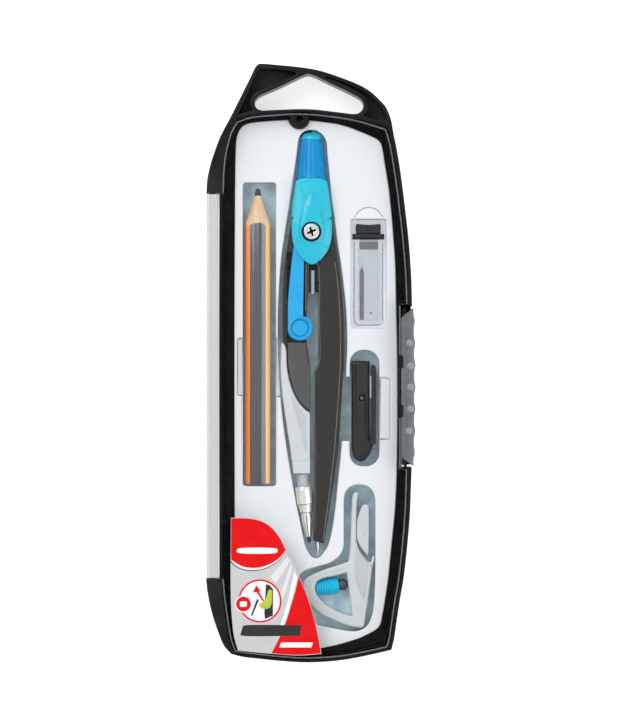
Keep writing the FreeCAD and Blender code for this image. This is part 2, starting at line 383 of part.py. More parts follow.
# ---------------------------------------------------------------- latch
PZ = D["latch_pin_z"]
flap = new_body("latch_flap")
LT, LB = 19.13, -35.8
XI, XG = 32.1, 33.43
pad_y(flap, "plate", [[(XI, 16.6), (XI, PZ)], [(XI, PZ), (XI + 0.55, PZ - 1.2), (LATCH_X, PZ - 1.75), (LATCH_X + 1.2, PZ - 1.2),
        (LATCH_X + 1.75, PZ)],
    [(LATCH_X + 1.75, PZ), (LATCH_X + 1.0, PZ + 1.6), (XG, PZ + 2.2)], [(XG, PZ + 2.2), (XG, 16.6)], [(XG, 16.6), (XI, 16.6)]], LT, LB)
pocket_y(flap, "bore", ["circle", [(LATCH_X, PZ, D["latch_bore_radius"])]], LT, LB)
for i, (u, w) in enumerate(((356, 368), (405, 417))):
    pad_y(flap, "nose%d" % i, poly([(30.45, 15.75), (XI + 0.3, 15.75), (XI + 0.3, 17.2), (30.91, 17.2), (30.45, 16.4)]), (YMID - u * UNIT),
        (YMID - w * UNIT))
grip = new_body("latch_grip")
pad(grip, "pad", [[(33.47, 16.67), (36.28, 18.95), (36.52, 17.9)], [(36.52, 17.9), (36.63, 8.07), (36.63, -8.42), (36.59, -23.52),
        (36.45, -34.75)], [(36.45, -34.75), (36.1, -35.8), (33.47, -34.4)], [(33.47, -34.4), (33.47, 16.67)]], "dims.latch_pin_z + 2.4", "16.2")
pad(grip, "bumps", poly([(36.52, 16.85), (36.98, 15.79), (36.98, 13.69), (36.52, 12.64)]), "8", "12")
for i, yb in enumerate((343, 365, 387, 409, 431, 453)):
    yc = (YMID - yb * UNIT)
    pad(grip, "bump%d" % i, poly([(36.52 - 0.2, yc + 1.5), (37.01, yc + 0.8), (37.01, yc - 0.8), (36.52 - 0.2, yc - 1.5)]), "8", "12")
latch_pin = doc.addObject("Part::Cylinder", "latch_pin")
latch_pin.setExpression("Radius", "dims.latch_pin_radius")
latch_pin.Height = 22.29 - -38.79
latch_pin.Placement = FreeCAD.Placement(V(LATCH_X, -38.79, PZ), FreeCAD.Rotation(V(1, 0, 0), -90))
NODES.append(latch_pin)


# ---------------------------------------------------------------- compass
CX, CY = 0.19, 46.16
MID = 8.0
head = new_body("compass_head")
pad(head, "cheeks", [[(-4.79, 63.88), (-5.6, 60.72), (-6.3, 56.16), (-6.83, 51.6)], [(-6.83, 51.6), (-6.58, 50.89)], [(-6.58, 50.89),
        (-6.72, 48.44), (-6.65, 44.93), (-6.23, 42.12), (-5.14, 39.66), (-3.14, 36.85), (-1.04, 35.1), (0.37, 34.68), (1.77, 35.1), (3.88, 36.85),
        (5.98, 39.84), (7.04, 43.17), (7.39, 46.68), (7.11, 50.89)], [(7.11, 50.89), (7.32, 51.6)], [(7.32, 51.6), (6.69, 56.16), (5.98, 60.72),
        (5.28, 63.88)], [(5.28, 63.88), (-4.79, 63.88)]], "dims.rest", "dims.head_top")
pocket(head, "fork_slot", poly([(-10.86, 52.65), (11.95, 52.65), (11.95, 31.94), (-10.86, 31.94)]), "dims.cheek_gap_low", "dims.cheek_gap_high")
turned(head, "spigot", [(0, 63.18), (3.2, 63.18), (3.2, 77.92), (0, 77.92)], 0.26, "8.0")
bore(head, "screw_bore", [(CX, CY, D["screw_bore"])], "dims.rest", "dims.head_top")
bore(head, "nut_seat", [(CX, CY, 2.9)], "dims.rest", "dims.rest + 1.3")
grip_sleeve = new_body("compass_grip")
turned(grip_sleeve, "sleeve", [(3.25, 63.95), (5.35, 63.95), (5.2, 66.34), (4.7, 71.25), (4.2, 75.46), (3.75, 78.69), (3.25, 78.69)], 0.26, "8.0")
cap = new_body("grip_end_cap")
turned(cap, "cap", [(0, 77.92 + 0.05), (3.2, 77.92 + 0.05), (3.2, 78.69), (3.65, 78.76), (3.35, 80.03), (2.7, 80.94), (0, 81.22)], 0.26, "8.0")
screw = new_body("pivot_screw")
bore_shape = pad(screw, "shank", ["circle", [(CX, CY, D["screw_radius"])]], "dims.rest + 0.2", "dims.head_top")
pad(screw, "flange", ["circle", [(0.19, 46.16, 3.299)]], "dims.head_top", "dims.head_top + 0.25")
pad(screw, "head", ["circle", [(0.19, 46.16, 2.808)]], "dims.head_top + 0.25", "dims.head_top + 0.95")
pocket(screw, "slot_a", poly([(CX - 1.7, CY - 0.3), (CX + 1.7, CY - 0.3), (CX + 1.7, CY + 0.3),
        (CX - 1.7, CY + 0.3)]), "dims.head_top + 0.4", "dims.head_top + 0.95")
pocket(screw, "slot_b", poly([(CX - 0.3, CY - 1.7), (CX + 0.3, CY - 1.7), (CX + 0.3, CY + 1.7),
        (CX - 0.3, CY + 1.7)]), "dims.head_top + 0.4", "dims.head_top + 0.95")
nut = new_body("pivot_nut")
pad(nut, "hexagon", poly([(CX + 2.8 * math.cos(math.radians(60 * i)), CY + 2.8 * math.sin(math.radians(60 * i))) for i in range(6)]), "dims.rest + 0.1", "dims.rest + 1.25")
bore(nut, "thread", [(CX, CY, D["screw_radius"])], "dims.rest + 0.1", "dims.rest + 1.25")
washer = new_body("pivot_washer")
pad(washer, "disc", ["circle", [(CX, CY, 4.0)]], "dims.mid_low + 0.03", "dims.mid_high - 0.03")
bore(washer, "hole", [(CX, CY, D["screw_radius"])], "dims.mid_low + 0.03", "dims.mid_high - 0.03")
bracket = new_body("centring_bracket")
pad(bracket, "frame", poly([(-0.82, 34.43), (2.26, 34.43), (2.26, 24.92), (1.39, 24.92), (1.39, 32.82), (-0.02, 32.82), (-0.02, 24.92),
        (-0.82, 24.92)]), "6.5", "11.0")
pad(bracket, "tang", poly([(-0.54, 39.14), (1.98, 39.14), (1.98, 34.33), (-0.54, 34.33)]), "dims.cheek_gap_low", "dims.cheek_gap_high")

needle_leg = new_body("needle_leg")
pad(needle_leg, "leg", [[(7.6, 48.44), (8.3, 43.17), (9.25, 35.45), (9.92, 25.62), (10.55, 11.58), (10.55, -2.46), (10.09, -12.99),
        (9.14, -23.52), (8.09, -34.05), (6.69, -44.58), (5.63, -55.11), (4.33, -63.71)], [(4.33, -63.71), (0.86, -62.55)], [(0.86, -62.55),
        (1.07, -48.09), (1.18, -3.16)], [(1.18, -3.16), (2.61, 0.0)], [(2.61, 0.0), (2.65, 18.6), (2.65, 34.4)], [(2.65, 34.4),
        (2.65, 39.66)], [(2.65, 39.66), (0.79, 41.42)], [(0.79, 41.42), (0.79, 48.44)], [(0.79, 48.44),
        (7.6, 48.44)]], "dims.leg_under", "dims.leg_top")
bore(needle_leg, "eye_relief", [(CX, CY, D["eye_clear"])], "dims.mid_low", "dims.leg_top")
pad(needle_leg, "eye", ["circle", [(CX, CY, D["eye_radius"])]], "dims.eye_under", "dims.mid_low")
bore(needle_leg, "eye_bore", [(CX, CY, D["screw_bore"])], "dims.eye_under", "dims.mid_low")
turned(needle_leg, "needle_bore", [(0, -65.64), (0.8, -65.64), (0.8, -53.35), (0, -53.35)], 2.33, "8.8", cut=True)
sleeve = new_body("needle_sleeve")
turned(sleeve, "sleeve", [(0.45, -53.7), (0.75, -53.7), (0.75, -65.29), (0.6, -65.99), (0.45, -65.99)], 2.33, "8.8")
needle = new_body("needle")
turned(needle, "needle", [(0, -54.4), (0.4, -54.4), (0.4, -66.51), (0.05, -68.02), (0, -68.02)], 2.33, "8.8")

lead_leg = new_body("lead_leg")
pad(lead_leg, "leg", [[(-7.25, 48.44), (-7.99, 43.17), (-8.83, 37.91), (-9.46, 32.64), (-9.85, 25.62), (-10.02, 16.85),
        (-9.95, 7.72)], [(-9.95, 7.72), (-8.9, 4.56)], [(-8.9, 4.56), (-8.16, -2.46), (-6.65, -8.42), (-4.55, -12.99), (-2.26, -15.79),
        (-0.47, -17.3)], [(-0.47, -17.3), (-0.47, 0.0)], [(-0.47, 0.0), (-1.53, 7.72), (-1.6, 15.79), (-1.07, 24.92)], [(-1.07, 24.92),
        (-1.07, 34.4)], [(-1.07, 34.4), (-1.07, 39.66)], [(-1.07, 39.66), (-0.4, 41.42)], [(-0.4, 41.42), (-0.4, 48.44)], [(-0.4, 48.44),
        (-7.25, 48.44)]], "dims.leg_under", "dims.leg_top")
bore(lead_leg, "eye_relief", [(CX, CY, D["eye_clear"])], "dims.leg_under", "dims.mid_high")
pad(lead_leg, "eye", ["circle", [(CX, CY, D["eye_radius"])]], "dims.mid_high", "dims.leg_top")
bore(lead_leg, "eye_bore", [(CX, CY, D["screw_bore"])], "dims.mid_high", "dims.leg_top")
pocket(lead_leg, "channel", poly([(-8.34, 38.96), (-2.23, 38.96), (-2.23, 17.2), (1.07, 17.2), (1.07, 6.84), (-8.34, 6.84)]), "8.6", "dims.leg_top")
pocket(lead_leg, "lead_groove", slot(-6.58, 14.39, -4.55, 30.89, 0.7), "6.9", "8.6")
HY = 34.05
LHZ = 10.2
lever_pin = doc.addObject("Part::Cylinder", "lever_pin")
lever_pin.Radius = 0.5
lever_pin.Height = -1.6 - -8.9
lever_pin.Placement = FreeCAD.Placement(V(-8.9, HY, LHZ), FreeCAD.Rotation(V(0, 1, 0), 90))
NODES.append(lever_pin)
pin_bore = sketch(lead_leg, "pin_bore_sketch", ["circle", [(HY, LHZ, 0.5)]], None, "YZ_Plane")
pin_bore.AttachmentOffset = FreeCAD.Placement(V(0, 0, -8.9), FreeCAD.Rotation())
f = lead_leg.newObject("PartDesign::Pocket", "lead_leg_pin_bore")
f.Profile = pin_bore
f.Length = -1.6 - -8.9
f.Reversed = True
doc.recompute()
block = new_body("lever_block")
pad(block, "block", poly([(-7.84, 38.75), (-2.37, 38.75), (-2.37, 35.52), (-8.16, 35.52)]), "8.65", "11.35")
lever = new_body("opening_lever")
pad(lever, "arm", [[(-8.2, 34.75), (-2.4, 34.75)], [(-2.4, 34.75), (-2.4, 16.5)], [(-2.4, 16.5), (-0.86, 15.97), (0.44, 14.04), (0.51, 11.58),
        (-0.68, 8.95), (-2.79, 7.97), (-5.25, 8.07), (-7.35, 9.3), (-8.23, 11.23)], [(-8.23, 11.23), (-8.2, 34.75)]], "8.95", "12.1")
pocket(lever, "dish", ["circle", [(-3.91, 12.29, 3.299)]], "11.5", "12.1")
pocket(lever, "toe_relief", poly([(-8.76, 34.78), (-2.09, 34.78), (-2.09, 32.82), (-8.76, 32.82)]), "11.1", "12.2")
barrel_bore = sketch(lever, "bore_sketch", ["circle", [(HY, LHZ, 0.55)]], None, "YZ_Plane")
barrel_bore.AttachmentOffset = FreeCAD.Placement(V(0, 0, -9.11), FreeCAD.Rotation())
f = lever.newObject("PartDesign::Pocket", "opening_lever_bore")
f.Profile = barrel_bore
f.Length = -1.39 - -9.11
f.Reversed = True
doc.recompute()
stored = new_body("stored_lead")
turned(stored, "lead", [(0, 30.54), (0.8, 30.54), (0.8, 15.09), (0, 15.09)], -5.56, "7.75")

lower_arm = new_body("lower_arm")
pad(lower_arm, "arm", [[(-10.65, 6.67), (-10.79, -2.46), (-10.09, -11.23), (-9.11, -18.25), (-8.06, -25.27), (-7.0, -32.29),
        (-6.16, -38.96)], [(-6.16, -38.96), (-0.26, -38.96)], [(-0.26, -38.96), (-0.33, -17.66)], [(-0.33, -17.66), (-2.37, -16.11),
        (-4.72, -13.27), (-6.9, -8.63), (-8.44, -2.56), (-9.18, 4.21)], [(-9.18, 4.21), (-10.65, 6.67)]], "dims.leg_under", "dims.leg_top")
TILT = 5.87
AX, AY = -3.04, -39.38
ferrule = new_body("clear_ferrule")
turned(ferrule, "ring", [(1.3, 0), (2.15, 0), (2.15, -4.05), (1.3, -4.05)], 0.0, "8.8")
place(ferrule, AX, AY, 0, TILT)
chuck = new_body("chuck_sleeve")
turned(chuck, "sleeve", [(1.55, -4.15), (2.75, -4.15), (2.85, -4.5), (2.85, -6.5), (2.2, -12.6), (2.05, -13.3), (1.55, -13.3)], 0.0, "8.8")
place(chuck, AX, AY, 0, TILT)
jaws = new_body("chuck_jaws")
turned(jaws, "jaws", [(0.75, -4.3), (1.5, -4.3), (1.5, -13.4), (1.9, -13.6), (1.9, -16.5), (1.0, -22.0), (0.75, -22.0)], 0.0, "8.8")
pocket(jaws, "jaw_slit", poly([(-0.15, -14.5), (0.15, -14.5), (0.15, -22.5), (-0.15, -22.5)]), "6.5", "11")
place(jaws, AX, AY, 0, TILT)
lead = new_body("compass_lead")
turned(lead, "lead", [(0, -6), (0.7, -6), (0.7, -23.2), (0.15, -24.4), (0, -24.4)], 0.0, "8.8")
place(lead, AX, AY, 0, TILT)

# ---------------------------------------------------------------- pencil
pencil = new_body("pencil_body")
PX0, PX1, PT = -23.18, -14.27, 10.6
pcx = (PX0 + PX1) / 2
w = (PX1 - PX0) / 2
r = 1.3
# Triangular section with rounded edges: flat face up, one edge down.
def rounded_triangle(cx, top, half, r):
    h = math.sqrt(3) * (half - r)
    centres = [(cx - half + r, top - r), (cx + half - r, top - r), (cx, top - r - h)]
    out = []
    angles = [(90, 210), (-30, 90), (210, 330)]
    order = [0, 2, 1]
    pts = []
    for k in order:
        c = centres[k]
        a0, a1 = angles[k]
        pts.append([(c[0] + r * math.cos(math.radians(a0 + (a1 - a0) * j / 4)), c[1] + r * math.sin(math.radians(a0 + (a1 - a0) * j / 4))) for j in range(5)])
    pts[2] = pts[2]
    spans = []
    for j in range(3):
        spans.append(pts[j])
        spans.append([pts[j][-1], pts[(j + 1) % 3][0]])
    return spans
pad_y(pencil, "prism", rounded_triangle(pcx, PT, w, r), 58.97, -42.47)
PCZ = PT - r - math.sqrt(3) * (w - r) / 3
turned(pencil, "point", [(1.12, 59.32), (9.0, 59.32), (9.0, 43.17), (5.9, 43.17)], pcx, "%.4f" % PCZ, cut=True)
turned(pencil, "lead_bore", [(0, 60.72), (1.0, 60.72), (1.0, -42.12), (0, -42.12)], pcx, "%.4f" % PCZ, cut=True)
core = new_body("pencil_lead")
turned(core, "core", [(0, -42.12), (1.0, -42.12), (1.0, 58.97), (0.3, 61.57), (0, 61.67)], pcx, "%.4f" % PCZ)

# ---------------------------------------------------------------- lead box
tube = new_body("lead_box_tube")
pad(tube, "body", slot(14.76, 13.23, 25.75, 43.52, 0.56), "dims.rest + 0.1", "dims.box_top")
pocket_y(tube, "cavity", poly([(16.94, 3.7), (23.85, 3.7), (23.85, 8.4), (16.94, 8.4)]), 43.52, 14.74)
box_cap = new_body("lead_box_cap")
pad(box_cap, "rim", poly([(14.62, 45.56), (25.85, 45.56), (25.85, 43.59), (14.62, 43.59)]), "dims.rest", "dims.box_top + 0.1")
pad(box_cap, "block", poly([(15.81, 49.28), (24.52, 49.28), (24.52, 45.49), (15.81, 45.49)]), "dims.rest + 0.5", "dims.box_top - 0.4")
pad(box_cap, "plug", poly([(17.04, 43.66), (23.75, 43.66), (23.75, 40.01), (17.04, 40.01)]), "3.8", "8.3")
spare = new_body("spare_lead")
turned(spare, "lead", [(0, 15.27), (0.8, 15.27), (0.8, 31.94), (0.15, 34.05), (0, 34.05)], 17.99, "4.6")

# ---------------------------------------------------------------- lead pointer
pointer = new_body("pointer_body")
pad(pointer, "body", [[(14.3, 0.7), (20.66, 0.7)], [(20.66, 0.7), (20.66, -27.03)], [(20.66, -27.03), (21.32, -27.03)], [(21.32, -27.03),
        (21.32, -1.16)], [(21.32, -1.16), (22.2, -0.63), (22.94, -1.75)], [(22.94, -1.75), (22.94, -12.99), (22.69, -23.52), (21.6, -29.83),
        (19.85, -33.34), (17.57, -34.75), (15.46, -33.52), (14.48, -30.54), (14.27, -25.27)], [(14.27, -25.27),
        (14.3, 0.7)]], "dims.rest", "dims.pointer_top")
blade = new_body("pointer_blade")
pad(blade, "blade", poly([(20.73, -4.56), (21.25, -4.56), (21.25, -12.29), (20.73, -12.29)]), "3.2", "dims.pointer_top - 0.4")
rivet = new_body("pointer_rivet")
bore(pointer, "rivet_bore", [(17.92, -12.29, 0.9)], "dims.rest", "dims.pointer_top")
pad(rivet, "shank", ["circle", [(17.92, -12.29, 0.9)]], "dims.rest", "dims.pointer_top")
pad(rivet, "head", ["circle", [(17.92, -12.29, 1.474)]], "dims.pointer_top", "dims.pointer_top + 0.35")

# ---------------------------------------------------------------- universal holder
frame = new_body("holder_frame")
pad(frame, "frame", [[(14.76, -47.03), (15.46, -45.74), (16.51, -45.81), (17.22, -47.38)], [(17.22, -47.38), (17.36, -55.11),
        (17.36, -63.18)], [(17.36, -63.18), (17.92, -65.64), (19.32, -68.27), (21.57, -70.02)], [(21.57, -70.02), (21.18, -74.41),
        (20.38, -79.68), (19.67, -84.24), (18.8, -93.3)], [(18.8, -93.3), (15.46, -93.12), (11.95, -91.96), (6.69, -89.68), (3.18, -87.93),
        (0.37, -85.47), (-1.74, -83.01), (-2.69, -80.38), (-3.28, -78.62), (-2.79, -76.69), (-0.86, -74.83), (3.18, -73.01), (6.69, -71.78),
        (10.2, -70.73), (13.18, -70.02)], [(13.18, -70.02), (13.88, -65.64), (14.16, -58.62), (14.41, -52.3),
        (14.76, -47.03)]], "dims.rest", "dims.holder_top")
pocket(frame, "ring", [[(12.65, -73.89), (8.44, -74.87), (4.93, -75.32), (2.12, -76.34), (0.37, -78.27), (0.72, -81.08), (3.0, -83.71),
        (6.69, -86.35), (10.2, -88.21), (14.58, -89.5)], [(14.58, -89.5), (16.34, -83.19), (16.87, -77.22), (15.99, -73.71)], [(15.99, -73.71),
        (12.65, -73.89)]], "dims.rest", "dims.holder_top")
clip = new_body("holder_clip")
pad(clip, "clip", [[(17.5, -50.72), (18.27, -49.84), (19.32, -49.84), (20.24, -50.89)], [(20.24, -50.89), (20.52, -58.62), (20.38, -64.94),
        (20.24, -68.44)], [(20.24, -68.44), (18.83, -66.51), (17.88, -64.23), (17.53, -62.48)], [(17.53, -62.48),
        (17.5, -50.72)]], "dims.rest + 0.5", "dims.holder_top - 0.6")
SCX, SCY, SCZ = 1.98, -79.43, 6.4
knob = new_body("clamp_knob")
turned(knob, "knob", [(1.2, 0), (2.3, 0), (2.75, 0.5), (2.75, 7.4), (2.5, 7.9), (1.2, 7.9)], 0.0, "6.4")
place(knob, SCX, SCY, 0, -82)
shaft = new_body("clamp_screw")
turned(shaft, "screw", [(0, 0.2), (1.2, 0.2), (1.2, 8.0), (2.0, 8.0), (2.0, 10.4), (1.15, 10.4), (1.15, 15.9), (0, 15.9)], 0.0, "6.4")
place(shaft, SCX, SCY, 0, -82)
thread = Part.makeCylinder(1.2, 12, V(0, 0, 0), V(0, 1, 0))
thread_hole = doc.addObject("Part::Cylinder", "thread_hole")
thread_hole.Radius = 1.2
thread_hole.Height = 9
thread_hole.Placement = FreeCAD.Placement(V(SCX + 7.0 * math.cos(math.radians(8)), SCY + 7.0 * math.sin(math.radians(8)), SCZ), FreeCAD.Rotation(V(0, 0, 1), -82).multiply(FreeCAD.Rotation(V(1, 0, 0), -90)))
holder_frame = doc.addObject("Part::Cut", "holder_frame_threaded")
holder_frame.Base = frame
holder_frame.Tool = thread_hole
NODES.remove(frame)
frame.Label = "holder_frame_blank"
holder_frame.Label = "holder_frame"
NODES.append(holder_frame)

doc.recompute()
for o in doc.Objects:
    if "Invalid" in o.State or "Error" in o.State:
        raise RuntimeError("feature failed: %s %s" % (o.Name, o.State))
for o in NODES:
    if o.Shape.isNull() or not o.Shape.isValid():
        raise RuntimeError("bad shape: " + o.Label)
    print("%-20s solids %d volume %9.1f  z %.2f..%.2f" % (o.Label, len(o.Shape.Solids), o.Shape.Volume, o.Shape.BoundBox.ZMin, o.Shape.BoundBox.ZMax))
os.makedirs("parts", exist_ok=True)
for o in NODES:
    o.Shape.exportStep("parts/%s.step" % o.Label)
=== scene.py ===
import bpy, bmesh, math, random
from mathutils import Vector, Matrix


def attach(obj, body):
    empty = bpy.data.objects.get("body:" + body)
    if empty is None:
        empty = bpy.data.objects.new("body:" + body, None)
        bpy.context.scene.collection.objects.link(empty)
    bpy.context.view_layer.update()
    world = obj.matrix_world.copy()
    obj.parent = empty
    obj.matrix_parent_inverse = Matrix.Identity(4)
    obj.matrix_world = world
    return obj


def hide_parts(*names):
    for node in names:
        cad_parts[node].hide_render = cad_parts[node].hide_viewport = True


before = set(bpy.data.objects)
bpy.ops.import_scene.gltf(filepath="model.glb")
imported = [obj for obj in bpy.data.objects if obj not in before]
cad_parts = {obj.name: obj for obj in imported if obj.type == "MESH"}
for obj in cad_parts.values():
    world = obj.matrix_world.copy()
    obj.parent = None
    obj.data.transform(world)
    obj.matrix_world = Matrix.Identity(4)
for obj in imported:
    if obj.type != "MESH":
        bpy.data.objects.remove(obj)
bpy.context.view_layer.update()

# Drawing grid: U metres per unit, origin at the centre of the footprint.
U = 0.000351


def P(u, v):
    return ((u - 310.95) * U, (363.0 - v) * U)


MM = 0.001
random.seed(7)


# ---------------------------------------------------------------- outlines
def smooth(points, n=8):
    """Centripetal Catmull-Rom through the points, ends kept."""
    pts = [Vector(p) for p in points]
    if len(pts) == 2:
        return pts
    ext = [pts[0] * 2 - pts[1]] + pts + [pts[-1] * 2 - pts[-2]]
    out = []
    for i in range(1, len(ext) - 2):
        p0, p1, p2, p3 = ext[i - 1:i + 3]
        t0 = 0.0
        t1 = t0 + max((p1 - p0).length, 1e-9) ** 0.5
        t2 = t1 + max((p2 - p1).length, 1e-9) ** 0.5
        t3 = t2 + max((p3 - p2).length, 1e-9) ** 0.5
        for k in range(n):
            t = t1 + (t2 - t1) * k / n
            a1 = p0 * ((t1 - t) / (t1 - t0)) + p1 * ((t - t0) / (t1 - t0))
            a2 = p1 * ((t2 - t) / (t2 - t1)) + p2 * ((t - t1) / (t2 - t1))
            a3 = p2 * ((t3 - t) / (t3 - t2)) + p3 * ((t - t2) / (t3 - t2))
            b1 = a1 * ((t2 - t) / (t2 - t0)) + a2 * ((t - t0) / (t2 - t0))
            b2 = a2 * ((t3 - t) / (t3 - t1)) + a3 * ((t - t1) / (t3 - t1))
            out.append(b1 * ((t2 - t) / (t2 - t1)) + b2 * ((t - t1) / (t2 - t1)))
    out.append(pts[-1])
    return out


def loop(spans, n=8):
    """Closed outline in metres from spans given in drawing units; spans share their end points."""
    out = []
    for s in spans:
        out += smooth([P(*p) for p in s], n)[:-1]
    clean = []
    for p in out:
        if not clean or (p - clean[-1]).length > 2e-6:
            clean.append(p)
    if (clean[0] - clean[-1]).length < 2e-6:
        clean.pop()
    return clean


def rounded(corners, n=6):
    """Closed outline of straight sides with filleted corners: (u, v, radius in units)."""
    out = []
    m = len(corners)
    for i in range(m):
        a, b, c = (Vector(P(*corners[(i + k) % m][:2])) for k in (-1, 0, 1))
        r = corners[i][2] * U
        if r <= 0:
            out.append(b)
            continue
        d1, d2 = (a - b).normalized(), (c - b).normalized()
        ang = d1.angle(d2)
        t = min(r / math.tan(ang / 2), (a - b).length * 0.49, (c - b).length * 0.49)
        r = t * math.tan(ang / 2)
        centre = b + (d1 + d2).normalized() * (r / math.sin(ang / 2))
        s, e = b + d1 * t - centre, b + d2 * t - centre
        a0 = math.atan2(s.y, s.x)
        a1 = math.atan2(e.y, e.x)
        d = (a1 - a0 + math.pi) % (2 * math.pi) - math.pi
        for k in range(n + 1):
            w = a0 + d * k / n
            out.append(centre + Vector((math.cos(w), math.sin(w))) * r)
    return out


def circle(u, v, r, n=48):
    c = Vector(P(u, v))
    return [c + Vector((math.cos(2 * math.pi * k / n), math.sin(2 * math.pi * k / n))) * r * U for k in range(n)]


# ---------------------------------------------------------------- mesh helpers
def finish_mesh(o, angle=35.0, weighted=True):
    for f in o.data.polygons:
        f.use_smooth = True
    o.data.set_sharp_from_angle(angle=math.radians(angle))
    if weighted:
        m = o.modifiers.new("normals", "WEIGHTED_NORMAL")
        m.keep_sharp = True
        m.weight = 90
    return o


def new_object(name, mesh):
    o = bpy.data.objects.new(name, mesh)
    bpy.context.scene.collection.objects.link(o)
    return o


def plate(name, outline, holes, z0, z1, bevel, body=None, node=(), material=None, segs=3, smooth_angle=35.0):
    """Extruded outline with holes and rounded edges; heights and bevel in mm."""
    cu = bpy.data.curves.new(name + "_c", "CURVE")
    cu.dimensions = "2D"
    cu.fill_mode = "BOTH"
    bevel = min(bevel, (z1 - z0) * 0.49)
    cu.extrude = ((z1 - z0) / 2 - bevel) * MM
    cu.bevel_depth = bevel * MM
    cu.bevel_resolution = segs
    cu.offset = -bevel * MM
    for pts in [outline] + list(holes):
        sp = cu.splines.new("POLY")
        sp.points.add(len(pts) - 1)
        for k, p in enumerate(pts):
            sp.points[k].co = (p[0], p[1], 0, 1)
        sp.use_cyclic_u = True
    tmp = bpy.data.objects.new(name + "_c", cu)
    bpy.context.scene.collection.objects.link(tmp)
    dg = bpy.context.evaluated_depsgraph_get()
    me = bpy.data.meshes.new_from_object(tmp.evaluated_get(dg))
    bpy.data.objects.remove(tmp)
    me.name = name
    for v in me.vertices:
        v.co.z += (z0 + z1) / 2 * MM
    bm = bmesh.new()
    bm.from_mesh(me)
    bmesh.ops.remove_doubles(bm, verts=bm.verts, dist=1e-6)
    bmesh.ops.recalc_face_normals(bm, faces=bm.faces)
    bm.to_mesh(me)
    bm.free()
    o = new_object(name, me)
    if material:
        me.materials.clear()
        me.materials.append(material)
    finish_mesh(o, smooth_angle)
    if body:
        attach(o, body)
    if node:
        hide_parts(*([node] if isinstance(node, str) else node))
    return o


def lathe(name, profile, origin, direction, body, node=(), material=None, n=48, flute=None):
    """Turned piece: profile of (radius, along) in mm about a line from origin (m) along direction.
    flute(angle, along) gives a factor on the radius."""
    d = Vector(direction).normalized()
    up = Vector((0, 0, 1))
    side = d.cross(up).normalized()
    up = side.cross(d).normalized()
    bm = bmesh.new()
    rings = []
    for r, h in profile:
        ring = []
        for k in range(n):
            a = 2 * math.pi * k / n
            rr = r * (flute(a, h) if flute else 1.0)
            p = Vector(origin) + d * h * MM + (side * math.cos(a) + up * math.sin(a)) * rr * MM
            ring.append(bm.verts.new(p))
        rings.append(ring)
    for i in range(len(rings) - 1):
        for k in range(n):
            bm.faces.new((rings[i][k], rings[i][(k + 1) % n], rings[i + 1][(k + 1) % n], rings[i + 1][k]))
    bm.faces.new(rings[0][::-1])
    bm.faces.new(rings[-1])
    bmesh.ops.remove_doubles(bm, verts=bm.verts, dist=1e-7)
    bmesh.ops.recalc_face_normals(bm, faces=bm.faces)
    me = bpy.data.meshes.new(name)
    bm.to_mesh(me)
    bm.free()
    o = new_object(name, me)
    if material:
        me.materials.append(material)
    finish_mesh(o, 40)
    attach(o, body)
    if node:
        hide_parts(*([node] if isinstance(node, str) else node))
    return o


def dome(name, outline, z_edge, z_top, body, node=(), material=None, power=2.0, steps=7, inset=0.97, z_bottom=None, centre=None, peak=None):
    """Crowned piece: the outline shrinks towards its middle while it rises."""
    bm = bmesh.new()
    c = Vector(centre) if centre else sum((Vector(p) for p in outline), Vector((0, 0))) / len(outline)
    rings = []
    if z_bottom is not None:
        rings.append([bm.verts.new((p[0], p[1], z_bottom * MM)) for p in outline])
    for s in range(steps + 1):
        t = s / steps
        w = math.sin(t * math.pi / 2)
        k = 1 - inset * (1 - math.cos(t * math.pi / 2)) if power == 0 else 1 - inset * (t ** power)
        z = z_edge + (z_top - z_edge) * w
        rings.append([bm.verts.new((c.x + (p[0] - c.x) * k, c.y + (p[1] - c.y) * k, z * MM)) for p in outline])
    n = len(outline)
    for i in range(len(rings) - 1):
        for k in range(n):
            bm.faces.new((rings[i][k], rings[i][(k + 1) % n], rings[i + 1][(k + 1) % n], rings[i + 1][k]))
    bm.faces.new(rings[0][::-1])
    bm.faces.new(rings[-1])
    bmesh.ops.recalc_face_normals(bm, faces=bm.faces)
    me = bpy.data.meshes.new(name)
    bm.to_mesh(me)
    bm.free()
    o = new_object(name, me)
    if material:
        me.materials.append(material)
    finish_mesh(o, 50)
    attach(o, body)
    if node:
        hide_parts(*([node] if isinstance(node, str) else node))
    return o


